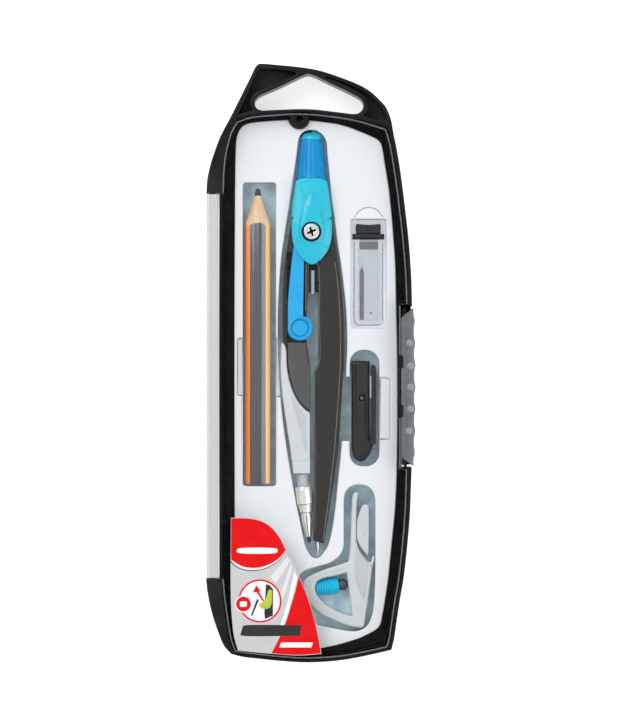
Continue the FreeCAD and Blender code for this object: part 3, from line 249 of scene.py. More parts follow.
# ---------------------------------------------------------------- materials
def mat(name, color, rough=0.4, metal=0.0, alpha=1.0, vary=0.06, vscale=180.0, bump=0.02, bscale=900.0,
        rvary=0.08, coat=0.0, stretch=(1, 1, 1), transmission=0.0, spec=0.5, dust=0.0):
    m = bpy.data.materials.new(name)
    m.use_nodes = True
    nt = m.node_tree
    b = nt.nodes["Principled BSDF"]
    L = nt.links.new
    tc = nt.nodes.new("ShaderNodeTexCoord")
    mp = nt.nodes.new("ShaderNodeMapping")
    mp.inputs["Scale"].default_value = stretch
    L(tc.outputs["Object"], mp.inputs["Vector"])
    n1 = nt.nodes.new("ShaderNodeTexNoise")
    n1.inputs["Scale"].default_value = vscale
    n1.inputs["Detail"].default_value = 4.0
    L(mp.outputs["Vector"], n1.inputs["Vector"])
    ramp = nt.nodes.new("ShaderNodeValToRGB")
    lo = [max(0.0, c * (1 - vary)) for c in color[:3]]
    hi = [min(1.0, c * (1 + vary) + 0.004) for c in color[:3]]
    ramp.color_ramp.elements[0].position = 0.3
    ramp.color_ramp.elements[1].position = 0.7
    ramp.color_ramp.elements[0].color = (*lo, 1)
    ramp.color_ramp.elements[1].color = (*hi, 1)
    L(n1.outputs["Fac"], ramp.inputs["Fac"])
    L(ramp.outputs["Color"], b.inputs["Base Color"])
    n2 = nt.nodes.new("ShaderNodeTexNoise")
    n2.inputs["Scale"].default_value = bscale
    n2.inputs["Detail"].default_value = 3.0
    L(mp.outputs["Vector"], n2.inputs["Vector"])
    mr = nt.nodes.new("ShaderNodeMapRange")
    mr.inputs["To Min"].default_value = max(0.02, rough - rvary)
    mr.inputs["To Max"].default_value = min(1.0, rough + rvary)
    L(n2.outputs["Fac"], mr.inputs["Value"])
    L(mr.outputs["Result"], b.inputs["Roughness"])
    if bump:
        bp = nt.nodes.new("ShaderNodeBump")
        bp.inputs["Strength"].default_value = min(1.0, bump * 5)
        bp.inputs["Distance"].default_value = 0.0001
        L(n2.outputs["Fac"], bp.inputs["Height"])
        L(bp.outputs["Normal"], b.inputs["Normal"])
    b.inputs["Metallic"].default_value = metal
    b.inputs["Alpha"].default_value = alpha
    b.inputs["Specular IOR Level"].default_value = spec
    if coat:
        b.inputs["Coat Weight"].default_value = coat
        b.inputs["Coat Roughness"].default_value = 0.08
    if transmission:
        b.inputs["Transmission Weight"].default_value = transmission
    return m


def srgb(r, g, b):
    f = lambda c: (c / 255 / 12.92) if c / 255 <= 0.04045 else ((c / 255 + 0.055) / 1.055) ** 2.4
    return (f(r), f(g), f(b))


M = {
    "black": mat("black_plastic", srgb(7, 7, 8), 0.36, bump=0.05, bscale=2600, vary=0.15, spec=0.2),
    # darker copy of the black plastic for the inner walls under the lid: painted shade
    "black_painted_shade": mat("black_plastic_painted_shade", srgb(4, 4, 5), 0.45, bump=0.04, bscale=2600, vary=0.15, spec=0.05),
    # lighter, rougher copy of the black plastic for the handle webs and the back panel line: partly a rougher texture,
    # partly painted light
    "black_painted_light": mat("black_plastic_painted_light", srgb(33, 35, 39), 0.5, bump=0.08, bscale=1800, vary=0.2, spec=0.22),
    "liner": mat("liner_sheet_glowing", srgb(196, 222, 240), 0.35, bump=0.06, bscale=500, vary=0.34, vscale=150, rvary=0.15),
    "white": mat("insert_plastic", srgb(228, 231, 235), 0.38, bump=0.015, bscale=700, vary=0.015, vscale=60),
    "steel": mat("steel", (0.62, 0.62, 0.63), 0.28, 1.0, bump=0.03, bscale=1500, stretch=(1, 0.15, 1)),
    "chrome": mat("chrome", (0.95, 0.95, 0.94), 0.2, 1.0, bump=0.005, vary=0.03, rvary=0.03),
    "brass": mat("brass", (0.72, 0.55, 0.25), 0.3, 1.0),
    "turq": mat("turquoise_plastic", srgb(2, 186, 212), 0.28, bump=0.008, vary=0.04, coat=0.14, rvary=0.04),
    "blue": mat("blue_plastic", srgb(0, 141, 205), 0.24, bump=0.008, vary=0.05, spec=0.22, coat=0.05, rvary=0.04),
    "leg": mat("metallic_paint", srgb(40, 38, 35), 0.42, 0.3, bump=0.05, bscale=5200, vary=0.45, vscale=4200),
    "arm": mat("grey_plastic", srgb(201, 206, 208), 0.4, bump=0.02, vary=0.03),
    "clip": mat("clip_plastic", srgb(196, 202, 206), 0.4, bump=0.02, vary=0.03),
    "graphite": mat("graphite", srgb(58, 60, 66), 0.45, 0.3, bump=0.06, vary=0.2),
    "grip": mat("soft_grip", srgb(92, 96, 99), 0.7, bump=0.14, bscale=4000, vary=0.14),
    "clear": mat("clear_plastic", srgb(236, 242, 246), 0.08, alpha=0.30, bump=0.0, vary=0.01, rvary=0.02),
    "lid": mat("lid_plastic", (0.012, 0.013, 0.014), 0.06, alpha=0.03, bump=0.0, vary=0.01, rvary=0.02),
    "spine": mat("spine_plastic", srgb(190, 193, 194), 0.3, alpha=0.93, bump=0.01, vary=0.03, stretch=(6, 0.3, 1)),
    "label": mat("label_paper", srgb(188, 188, 190), 0.35, bump=0.01, vary=0.03),
    "wood": mat("cedar", srgb(224, 192, 156), 0.6, bump=0.1, bscale=900, vary=0.14, vscale=700, stretch=(1, 0.06, 1)),
    "sleeve": mat("bright_sleeve", srgb(236, 237, 233), 0.16, 0.55, bump=0.01, vary=0.03, rvary=0.03),
    "paint": mat("pencil_paint", srgb(112, 114, 119), 0.3, bump=0.02, vary=0.05, coat=0.3),
}
DEFAULT = {
    "case_base": "black", "recess_liner": "liner", "insert_tray": "white", "hinge_pins": "black", "lid": "lid",
    "lid_label": "label", "latch_flap": "black", "latch_grip": "grip", "latch_pin": "steel", "compass_head": "turq",
    "compass_grip": "blue", "grip_end_cap": "turq", "pivot_screw": "steel", "pivot_nut": "steel", "pivot_washer": "brass",
    "centring_bracket": "black", "needle_leg": "leg", "needle_sleeve": "steel", "needle": "steel", "lead_leg": "leg",
    "lever_pin": "black", "lever_block": "blue", "opening_lever": "blue", "stored_lead": "graphite", "lower_arm": "arm",
    "clear_ferrule": "clear", "chuck_sleeve": "chrome", "chuck_jaws": "sleeve", "compass_lead": "graphite",
    "pencil_body": "paint", "pencil_lead": "graphite", "lead_box_tube": "clear", "lead_box_cap": "black",
    "spare_lead": "graphite", "pointer_body": "black", "pointer_blade": "steel", "pointer_rivet": "black",
    "holder_frame": "arm", "holder_clip": "clip", "clamp_knob": "blue", "clamp_screw": "black"}
for node, key in DEFAULT.items():
    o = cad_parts[node]
    o.data.materials.clear()
    o.data.materials.append(M[key])

# ---------------------------------------------------------------- case base
OUTLINE = [
    [(257, 65), (259, 63.8), (262, 63.5), (280, 65), (300, 67), (320, 70.5), (340, 77), (360, 85), (370, 91), (380, 100), (386, 107), (390, 116), (391.5, 121)],
    [(391.5, 121), (394, 135), (397, 150), (400, 168), (403, 190), (406, 215), (408, 232), (410, 255), (411.5, 280), (412.2, 306)],
    [(412.2, 306), (401.6, 306)], [(401.6, 306), (401.6, 467.5)], [(401.6, 467.5), (411.8, 467.5)],
    [(411.8, 467.5), (411, 490), (410, 515), (408, 540), (406, 560), (403.5, 580), (400, 600), (397, 620), (394, 640), (391.5, 650)],
    [(391.5, 650), (370, 655), (350, 659), (330, 661.5), (305, 662.5), (280, 661), (260, 659), (240, 656.5), (231, 654)],
    [(231, 654), (224, 646), (218, 632), (213, 618), (209, 603), (207, 592), (205.7, 579)],
    [(205.7, 579), (219.3, 579)], [(219.3, 579), (219.1, 470), (219, 370), (219.1, 280), (219.3, 193)], [(219.3, 193), (206, 193)],
    [(206, 193), (207, 178), (209, 168), (212, 158), (216, 147), (220, 137), (225, 127), (230, 118)],
    [(230, 118), (237, 104), (243, 92), (250, 78), (255, 67.5), (257, 65)]]
WINDOW = [[(301, 76), (308, 73.8), (316, 76)], [(316, 76), (330, 83), (345, 90), (356, 95.5)],
          [(356, 95.5), (361, 99), (363.6, 104), (362, 110), (358, 113.3), (353, 114)],
          [(353, 114), (330, 111.2), (315, 109.5), (300, 109), (285, 109.5), (262, 110.5)],
          [(262, 110.5), (257, 108.5), (254.7, 104), (255, 100), (258, 96.3)], [(258, 96.3), (262, 94), (275, 88.5), (290, 81.5), (301, 76)]]
WEB_LEFT = [[(260, 69), (280, 70), (294.5, 72)], [(294.5, 72), (295.6, 72.9), (295, 74.6)], [(295, 74.6), (288, 78.3), (273, 84.8), (259, 90.7), (253.3, 94.5), (250.3, 100), (250, 105), (252.5, 110.3)],
            [(252.5, 110.3), (245, 112), (238, 114.7)], [(238, 114.7), (246, 98), (252.5, 83), (258.6, 70.5)], [(258.6, 70.5), (260, 69)]]
WEB_RIGHT = [[(326, 76.6), (340, 81.3), (358.5, 88.8), (367.5, 94.3), (377, 102.8), (383, 110.3), (386.3, 119.3)],
             [(386.3, 119.3), (376, 118.5), (363.5, 115.5)], [(363.5, 115.5), (367.2, 110.5), (368, 104), (365.3, 97.5), (359, 92)],
             [(359, 92), (346, 85.3), (334, 80), (325.6, 77.8)], [(325.6, 77.8), (326, 76.6)]]
# Top edge of the well and bottom of its sloping walls: the same number of points, matched one to one.
WELL_TOP = [
    [(237, 119.5), (250, 115.8), (270, 113.8), (300, 112.2), (330, 114.6), (355, 118.6), (387.3, 127.8)],
    [(387.3, 127.8), (390, 138), (393, 152), (396, 170), (399, 192), (402, 217), (404, 234), (406, 257), (407.4, 282), (408, 303)],
    [(408, 303), (399.3, 303)], [(399.3, 303), (399.3, 471)], [(399.3, 471), (407.8, 471)],
    [(407.8, 471), (407.2, 490), (406.2, 515), (404.2, 540), (402.2, 560), (399.7, 580), (396.2, 600), (393.2, 620), (390.2, 640), (388.5, 647)],
    [(388.5, 647), (370, 651.4), (350, 655.4), (330, 658), (305, 659), (280, 657.5), (260, 655.5), (240, 652.8), (234, 651.3)],
    [(234, 651.3), (230, 640), (226.4, 620), (224, 600), (222.8, 580)],
    [(222.8, 580), (222, 470), (221.6, 370), (222, 280), (222.6, 193)],
    [(222.6, 193), (223.2, 175), (224.5, 160), (227, 147), (230.6, 134), (237, 119.5)]]
WELL_LOW = [
    [(243, 124), (252, 121.6), (270, 119.6), (300, 119.0), (330, 121.8), (355, 128.4), (378, 138.5)],
    [(378, 138.5), (383.6, 146), (385, 157), (387, 171.5), (389.6, 190), (392.2, 214), (393.8, 232), (395.3, 256), (396.4, 282), (397, 302)],
    [(397, 302), (397.3, 306)], [(397.3, 306), (398.2, 466)], [(398.2, 466), (397.6, 471)],
    [(397.6, 471), (396.7, 490), (395.2, 515), (392.8, 540), (390.8, 560), (388.8, 580), (385.8, 600), (382.6, 617), (380.6, 625), (377.5, 629.5)],
    [(377.5, 629.5), (369, 634.6), (350, 642.2), (330, 647.2), (305, 650.6), (280, 652), (260, 651.7), (246, 650.5), (241, 648)],
    [(241, 648), (237.6, 640), (236, 620), (235.2, 600), (234.7, 580)],
    [(234.7, 580), (234.2, 470), (234, 370), (234.2, 280), (234.6, 193)],
    [(234.6, 193), (234.8, 175), (235, 160), (235.8, 147), (237.6, 134), (243, 124)]]


def matched(spans, n=8):
    out = []
    for s in spans:
        out += smooth([P(*p) for p in s], n)[:-1]
    return out


rim = plate("case_rim", loop(OUTLINE), [loop(WELL_TOP), loop(WINDOW), loop(WEB_LEFT), loop(WEB_RIGHT)], 0.0, 15.5, 0.42,
            "case", "case_base", M["black"])
# The outer flank of the ears slopes away from the lid.
bm = bmesh.new()
bm.from_mesh(rim.data)
for v in bm.verts:
    x, y, z = v.co
    left = 205.7
    ux = x / U + 310.95
    uy = 363.0 - y / U
    if ux < 219.0 and (118 < uy < 195 or 577 < uy < 655) and z > 8 * MM:
        edge = 219.5
        t = max(0.0, min(1.0, (edge - ux) / 12.0))
        v.co.z = 8 * MM + (z - 8 * MM) * (1 - 0.62 * t ** 1.6)
bm.to_mesh(rim.data)
bm.free()
# handle webs in the lighter black copy: painted light on the recessed faces
web_l = plate("web_left", loop(WEB_LEFT), [], 6.0, 8.6, 0.01, "case", (), M["black_painted_light"])
web_r = plate("web_right", loop(WEB_RIGHT), [], 6.0, 8.6, 0.01, "case", (), M["black_painted_light"])
# Sloping inner walls: concave from the rim down to the insert, in a darker copy of the black plastic that paints the
# shade under the lid.
top, low = matched(WELL_TOP), matched(WELL_LOW)
bm = bmesh.new()
prof = [(-0.04, 15.46), (0.0, 15.3), (0.03, 14.9), (0.07, 13.8), (0.16, 12.3), (0.36, 11.0), (0.62, 10.35), (0.9, 10.05), (1.0, 9.9), (1.0, 8.7), (-0.04, 8.7), (-0.04, 15.2)]
rings = []
for f, z in prof:
    rings.append([bm.verts.new((a.x + (b.x - a.x) * f, a.y + (b.y - a.y) * f, z * MM)) for a, b in zip(top, low)])
m = len(top)
for i in range(len(rings)):
    j = (i + 1) % len(rings)
    for k in range(m):
        bm.faces.new((rings[i][k], rings[i][(k + 1) % m], rings[j][(k + 1) % m], rings[j][k]))
bmesh.ops.recalc_face_normals(bm, faces=bm.faces)
me = bpy.data.meshes.new("case_inner_wall")
bm.to_mesh(me)
bm.free()
wall = new_object("case_inner_wall", me)
me.materials.append(M["black_painted_shade"])
finish_mesh(wall, 60, False)
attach(wall, "case")
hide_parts("case_base")
floor_in = plate("case_floor", loop(WELL_TOP), [], 0.0, 1.6, 0.02, "case", (), M["black"])
# Boss with its blind hole at the top of the well.
plate("case_boss", rounded([(289.5, 112.5, 0.5), (309, 112.5, 0.5), (308.6, 120, 2), (305.5, 126.4, 5), (299, 127.6, 5), (292.5, 126.4, 5), (289.6, 120, 2)], 8),
      [circle(299.5, 118.5, 3.6, 32)], 8.6, 12.4, 0.35, "case", (), M["black"])
lathe("case_boss_floor", [(0.01, 0), (1.25, 0), (1.25, 1.2), (0.01, 1.2)], (P(299.5, 118.5)[0], P(299.5, 118.5)[1], 8.6 * MM), (0, 0.0001, 1), "case", (), M["black"], 32)
# Moulded panel line on the back.
back = plate("case_back_panel", rounded([(240, 150, 12), (380, 150, 14), (388, 380, 30), (372, 628, 14), (252, 636, 12), (238, 380, 20)], 8), [
    rounded([(243, 153, 10), (377, 153, 12), (385, 380, 28), (369, 625, 12), (255, 633, 10), (241, 380, 18)], 8)], 0.0, 0.5, 0.12, "case", (), M["black_painted_light"])

# ---------------------------------------------------------------- insert
INSERT = [
    [(235.0, 140), (236.6, 133), (239.5, 127.7), (243.3, 124.3), (248.1, 122.3), (255, 121.2), (270, 119.9), (288.6, 118.9)],
    [(288.6, 118.9), (290.2, 123), (294, 126.9), (299, 128.1), (304, 126.9), (307.9, 123), (309.3, 119.6)],
    [(309.3, 119.6), (320, 120.6), (340, 123.6), (350, 126.6), (360, 130.6), (369.9, 134.6), (376.7, 138), (380.6, 141.4), (382.6, 146.3), (383.6, 152), (385.6, 165), (387.6, 177), (389.6, 190), (391.1, 205), (392.6, 220), (394.1, 240), (395.6, 260), (396.6, 300), (397.6, 340), (398, 380), (398, 420), (397.6, 460), (396.6, 490), (395.1, 515), (392.6, 540), (390.6, 560), (388.6, 580), (385.6, 600), (382.6, 617.8), (380.6, 625.8), (376.7, 630.6), (369.7, 634.6), (359.7, 639.6), (349.8, 642.6), (339.8, 645.6), (322, 649.6), (300, 651.6), (280, 652.4), (260, 651.9), (247.3, 650.6)],
    [(247.3, 650.6), (241.4, 648.1), (238.0, 643.2), (236.4, 635), (235.4, 620), (234.4, 580), (234.0, 480), (233.9, 370), (234.1, 250), (235.0, 140)]]
R_COMPASS = [
    [(316, 129.4), (322.5, 134), (326.3, 141), (327.5, 155), (329.5, 175), (331.5, 200), (333.8, 215), (337, 240), (341, 265), (344, 290), (346, 310), (347, 340), (346, 370), (345, 390), (343, 420), (341, 450), (338, 480), (335, 510), (331, 535), (327, 548), (320.5, 557.5)],
    [(320.5, 557.5), (316, 559), (311, 557)],
    [(311, 557), (306, 548), (300.5, 525), (295.5, 500), (291, 475), (287, 450), (282, 413), (279, 370), (278, 340), (278.6, 300), (280.4, 270), (282.4, 250), (286.4, 225), (290.4, 200), (295.2, 165), (298.7, 138)],
    [(298.7, 138), (301.8, 132.5), (307.5, 129.4), (316, 129.4)]]
R_HOLDER = [[(344, 500), (346, 492), (351, 487), (359, 485), (368, 487), (373, 492), (375.5, 500)], [(375.5, 500), (375.5, 560), (374.5, 600), (372, 617), (367, 627), (359, 631.5), (350, 632), (335, 629.5), (318, 626)],
            [(318, 626), (306, 614), (299.5, 603), (296, 592), (297.5, 579), (304, 572), (318, 567), (330, 563.5), (341, 554.5), (344, 546)], [(344, 546), (344, 500)]]
r_pencil = rounded([(242.6, 182, 3), (275.8, 182, 3), (275.8, 338, 1), (281.5, 338, 2.5), (281.5, 397, 2.5), (275.8, 397, 1), (275.8, 486.5, 3),
                    (242.6, 486.5, 3), (242.6, 396, 1), (236.8, 396, 2.5), (236.8, 338, 2.5), (242.6, 338, 1)])
notch = [(369 + 14.8 * math.cos(a), 221.5 - 14.8 * math.sin(a), 0) for a in [math.pi * (1 - k / 14) for k in range(1, 14)]]
r_box = rounded([(351, 219, 4)] + [(353.8, 219, 0.4)] + notch + [(384.2, 219, 0.4)] + [(386.5, 219, 4), (386.5, 328, 4), (351, 328, 4)])
r_pointer = rounded([(350, 350, 14), (379.5, 350, 14), (379.5, 378, 1), (390.5, 378, 3), (390.5, 440, 3), (379.5, 440, 1), (379.5, 466.5, 14),
                     (350, 466.5, 14), (350, 441, 1), (339.6, 441, 3), (339.6, 377, 3), (350, 377, 1)])


def pxs(span, n=6):
    """Smooth points of one span, with their heights on the drawing kept beside them."""
    return [(p, 363.0 - p.y / U) for p in smooth([P(*q) for q in span], n)]


right, left_ = pxs(R_COMPASS[0]), pxs(R_COMPASS[2])
tail = [p for p, v in pxs(R_COMPASS[1])][1:]
crown = [p for p, v in pxs(R_COMPASS[3])][1:-1]
pointer_path = rounded([(345.6, 377, 0.01), (350, 377, 1), (350, 350, 14), (379.5, 350, 14), (379.5, 378, 1), (390.5, 378, 3), (390.5, 440, 3), (379.5, 440, 1), (379.5, 466.5, 14),
                        (350, 466.5, 14), (350, 441, 1), (341.9, 441, 0.01)])
pencil_path = rounded([(280.7, 397, 0.01), (275.8, 397, 1), (275.8, 486.5, 3), (242.6, 486.5, 3), (242.6, 396, 1), (236.8, 396, 2.5), (236.8, 338, 2.5), (242.6, 338, 1),
                       (242.6, 182, 3), (275.8, 182, 3), (275.8, 338, 1), (278.05, 338, 0.01)])
main_hole = [p for p, v in right if v < 376.5] + pointer_path + [p for p, v in right if v > 441.5] + tail + [p for p, v in left_ if v > 397.5] + pencil_path + [p for p, v in left_ if v < 337.5] + crown
clean = []
for p in main_hole:
    if not clean or (p - clean[-1]).length > 2e-5:
        clean.append(p)
main_hole = clean
tray = plate("insert_deck", loop(INSERT), [main_hole, r_box, loop(R_HOLDER)], 8.6, 10.0, 0.5, "case", "insert_tray", M["white"], 4)
# Skirts of the recesses: thin walls down to the liner, in a grey-blue darker than the insert as painted shade.


def skirt(name, outline, t=0.8, z0=2.25, z1=9.2, material=None):
    """Thin wall that stands just outside a recess outline."""
    n = len(outline)
    area2 = sum(outline[k].x * outline[(k + 1) % n].y - outline[(k + 1) % n].x * outline[k].y for k in range(n))
    sgn = 1 if area2 > 0 else -1
    outer = []
    for k in range(n):
        d = (outline[(k + 1) % n] - outline[k - 1]).normalized()
        outer.append(outline[k] + Vector((d.y, -d.x)) * sgn * t * MM)
    bm = bmesh.new()
    rr = []
    for ring, z in ((outline, z0), (outer, z0), (outer, z1), (outline, z1)):
        rr.append([bm.verts.new((p.x, p.y, z * MM)) for p in ring])
    for i in range(4):
        for k in range(n):
            bm.faces.new((rr[i][k], rr[i][(k + 1) % n], rr[(i + 1) % 4][(k + 1) % n], rr[(i + 1) % 4][k]))
    bmesh.ops.recalc_face_normals(bm, faces=bm.faces)
    me = bpy.data.meshes.new(name)
    bm.to_mesh(me)
    bm.free()
    o = new_object(name, me)
    me.materials.append(material or M["white"])
    finish_mesh(o, 40)
    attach(o, "case")
    return o


# the liner glows faintly: painted light that brightens the shaded recess floors
b = M["liner"].node_tree.nodes["Principled BSDF"]
b.inputs["Emission Color"].default_value = (0.72, 0.88, 1.0, 1)
b.inputs["Emission Strength"].default_value = 0.085
# grey-blue skirt colour, darker than the white insert: painted shade on the recess walls
M["recess"] = mat("shaded_recess_skirt", srgb(176, 188, 196), 0.4, bump=0.02, vary=0.1, vscale=90)
# grey shelves in the pencil's finger slots, a darker copy of the white insert: painted shade
M["shelf"] = mat("shaded_recess_shelf", srgb(205, 211, 215), 0.4, bump=0.02, vary=0.05, vscale=120)
plate("shelf_pencil_left", rounded([(237, 338.3, 2), (242.9, 338.3, 0.3), (242.9, 395.8, 0.3), (237, 395.8, 2)]), [], 7.4, 8.9, 0.3, "case", (), M["shelf"])
plate("shelf_pencil_right", rounded([(275.6, 338.3, 0.3), (278.3, 338.3, 0.3), (280.4, 396.8, 0.3), (275.6, 396.8, 0.3)]), [], 7.4, 8.9, 0.3, "case", (), M["shelf"])
plate("shelf_pointer_right", rounded([(379.7, 378.2, 0.3), (390.3, 378.2, 3), (390.3, 439.8, 3), (379.7, 439.8, 0.3)]), [], 7.8, 9.4, 0.4, "case", (), M["white"])
plate("shelf_box", [Vector(p) for p in rounded([(353.9, 219.4, 0.3)] + [(369 + 14.5 * math.cos(a), 221.5 - 14.5 * math.sin(a), 0) for a in [math.pi * (1 - k / 14) for k in range(1, 14)]] + [(384.1, 219.4, 0.3)])],
      [], 7.8, 9.5, 0.4, "case", (), M["white"])
for nm, ol in (("skirt_main", main_hole), ("skirt_box", r_box), ("skirt_holder", loop(R_HOLDER, 5))):
    skirt(nm, ol, 0.35, 2.25, 9.2, M["recess"])

# ---------------------------------------------------------------- lid
LID = [
    [(236.5, 122), (250, 117.2), (270, 115), (300, 113.4), (330, 115.9), (355, 119.9), (386, 128.8)],
    [(386, 128.8), (389, 139), (392, 152.5), (395, 170.5), (398.2, 193), (401.2, 218), (403.2, 235), (405.2, 257), (406.8, 282), (407.4, 305)],
    [(407.4, 305), (400.4, 305)], [(400.4, 305), (400.4, 355.2)], [(400.4, 355.2), (397, 355.2)], [(397, 355.2), (397, 368.8)], [(397, 368.8), (400.4, 368.8)],
    [(400.4, 368.8), (400.4, 404.2)], [(400.4, 404.2), (397, 404.2)], [(397, 404.2), (397, 417.8)], [(397, 417.8), (400.4, 417.8)], [(400.4, 417.8), (400.4, 468.5)], [(400.4, 468.5), (407.2, 468.5)],
    [(407.2, 468.5), (406.6, 490), (405.6, 515), (403.6, 540), (401.6, 560), (399.1, 580), (395.6, 600), (392.6, 620), (389.6, 640), (387.5, 647)],
    [(387.5, 647), (370, 651), (350, 655), (330, 657.4), (305, 658.4), (280, 656.9), (260, 654.9), (235, 651.5)],
    [(235, 651.5), (230.8, 640), (227.1, 620), (224.4, 600), (222.2, 579)], [(222.2, 579), (218.5, 577.9)], [(218.5, 577.9), (218.5, 194.3)], [(218.5, 194.3), (222.4, 193)],
    [(222.4, 193), (223, 175), (224.3, 160), (226.7, 147), (230.4, 134), (236.5, 122)]]
lid = plate("lid_window", loop(LID), [], 16.5, 18.0, 0.4, "lid", "lid", M["lid"])
# lighter strips along the lid's real edge: painted highlight on the rim line
M["lid_edge"] = mat("lid_edge_plastic", srgb(150, 156, 160), 0.1, alpha=0.3, bump=0.0, vary=0.02, rvary=0.03)
lid_loop = loop(LID)


def strip(name, pts, w, z0, z1, body, material, bevel=0.05):
    c = smooth([P(*p) for p in pts], 8)
    out, back_ = [], []
    for i, p in enumerate(c):
        d = (c[min(i + 1, len(c) - 1)] - c[max(i - 1, 0)]).normalized()
        s = Vector((-d.y, d.x)) * w * MM / 2
        out.append(p + s)
        back_.append(p - s)
    return plate(name, out + back_[::-1], [], z0, z1, bevel, body, (), material)


for nm, pts in (("top", [(237, 122.8), (250, 118.2), (270, 116), (300, 114.4), (330, 116.9), (355, 120.9), (385.3, 129.7)]),
                ("right_up", [(385.4, 129.8), (388.2, 139), (391.2, 152.5), (394.2, 170.5), (397.4, 193), (400.4, 218), (402.4, 235), (404.4, 257), (406, 282), (406.6, 304.2)]),
                ("right_low", [(406.4, 469.2), (405.8, 490), (404.8, 515), (402.8, 540), (400.8, 560), (398.3, 580), (394.8, 600), (391.8, 620), (388.9, 639), (387, 646.2)]),
                ("low", [(387, 646.4), (370, 650.2), (350, 654.2), (330, 656.6), (305, 657.6), (280, 656.1), (260, 654.1), (235.6, 650.8)]),
                ("left_low", [(235.6, 650.8), (231.6, 640), (227.9, 620), (225.2, 600), (223, 578.4)]),
                ("left_up", [(223.2, 193.6), (223.8, 175), (225.1, 160), (227.5, 147), (231.2, 134), (237, 122.8)]),
                ("latch", [(399.8, 306), (399.8, 355)]), ("latch_b", [(399.8, 418), (399.8, 468)])):
    strip("lid_edge_" + nm, pts, 0.42, 16.52, 18.02, "lid", M["lid_edge"], 0.15)
# Spine of the lid: a rounded bar with two moulded lines.
y1, y0 = P(0, 194.3)[1], P(0, 577.9)[1]
hx = P(212, 0)[0]
sec = [(2.1, 9.5), (1.82, 8.45), (1.05, 7.68), (0, 7.4), (-1.05, 7.68), (-1.82, 8.45), (-2.1, 9.5), (-2.1, 13.8), (-2.0, 15.0), (-1.72, 16.1), (-1.55, 16.2), (-1.45, 16.6),
       (-1.2, 17.1), (-0.7, 17.55), (-0.55, 17.5), (-0.3, 17.75), (0.3, 18.0), (1.9, 18.0), (2.12, 17.9), (2.12, 16.5)]
bm = bmesh.new()
rings = []
for y, s in ((y1, 0.86), (y1 - 0.0002, 0.97), (y1 - 0.0006, 1.0), (y0 + 0.0006, 1.0), (y0 + 0.0002, 0.97), (y0, 0.86)):
    rings.append([bm.verts.new((hx + a * MM * s, y, (13 + (b - 13) * s) * MM)) for a, b in sec])
k2 = len(sec)
for i in range(len(rings) - 1):
    for k in range(k2):
        bm.faces.new((rings[i][k], rings[i][(k + 1) % k2], rings[i + 1][(k + 1) % k2], rings[i + 1][k]))
bm.faces.new(rings[0])
bm.faces.new(rings[-1][::-1])
bmesh.ops.recalc_face_normals(bm, faces=bm.faces)
me = bpy.data.meshes.new("lid_spine")
bm.to_mesh(me)
bm.free()
spine = new_object("lid_spine", me)
me.materials.append(M["spine"])
finish_mesh(spine, 28)
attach(spine, "lid")
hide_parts("lid")

# ---------------------------------------------------------------- latch grip
LG = [(406.3, 315.5), (414.3, 309), (415, 312), (415.3, 340), (415.4, 387), (415.2, 430), (414.8, 462), (413.8, 465), (406.3, 461)]
ys = [308.8 + (465.2 - 308.8) * k / 180 for k in range(181)]
bm = bmesh.new()
rings = []
for u in ys:
    xo = 414.6 - 0.9 * abs((u - 387) / 78) ** 3
    for c in (321, 343, 365, 387, 409, 431, 453):
        xo += 1.15 * math.exp(-((u - c) / 4.4) ** 2)
    xi = 401.2 + (11.0 * max(0.0, (318 - u) / 9.5) + 11.5 * max(0.0, (u - 457) / 8.5))
    zb = 5.9
    pts = [(xi, zb), (xo - 0.8, zb), (xo, zb + 0.8), (xo, 11.5), (xo - 0.7, 13.6), (xo - 2.6, 15.1), ((xi + xo) / 2 + 1, 16.2), (xi + 2.2, 16.95), (xi, 17.0)]
    rings.append([bm.verts.new((P(a, u)[0], P(a, u)[1], b * MM)) for a, b in pts])
for i in range(len(rings) - 1):
    for k in range(9):
        bm.faces.new((rings[i][k], rings[i][(k + 1) % 9], rings[i + 1][(k + 1) % 9], rings[i + 1][k]))
bm.faces.new(rings[0])
bm.faces.new(rings[-1][::-1])
bmesh.ops.recalc_face_normals(bm, faces=bm.faces)
me = bpy.data.meshes.new("latch_soft_grip")
bm.to_mesh(me)
bm.free()
g = new_object("latch_soft_grip", me)
me.materials.append(M["grip"])
finish_mesh(g, 45, False)
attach(g, "latch")
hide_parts("latch_grip")
M["dimple"] = mat("dimple_gloss", srgb(128, 132, 135), 0.25, bump=0.02, vary=0.06)
for c, u in ((343, 409), (366, 410), (387, 410), (409, 410), (431, 408.5)):
    lathe("grip_dimple_%d" % c, [(0.01, 0), (1.35, 0), (1.28, 0.35), (1.0, 0.68), (0.55, 0.86), (0.01, 0.92)], (P(u, c)[0], P(u, c)[1], 16.05 * MM), (0.0, 0.0001, 1), "latch", (), M["dimple"], 24)

# ---------------------------------------------------------------- compass
M["lever"] = mat("lever_plastic", srgb(14, 164, 224), 0.25, bump=0.008, vary=0.04, coat=0.3, rvary=0.04)
M["charcoal"] = mat("charcoal_plastic", srgb(74, 74, 76), 0.5, bump=0.06, bscale=3000, vary=0.1, vscale=120)
# lighter brown for lines along the legs' chamfered edges: painted highlights
M["edge"] = mat("leg_edge_highlight", srgb(118, 112, 106), 0.35, 0.3, bump=0.02, vary=0.1)
M["armdark"] = mat("arm_inset", srgb(186, 192, 198), 0.45, bump=0.03, vary=0.04)
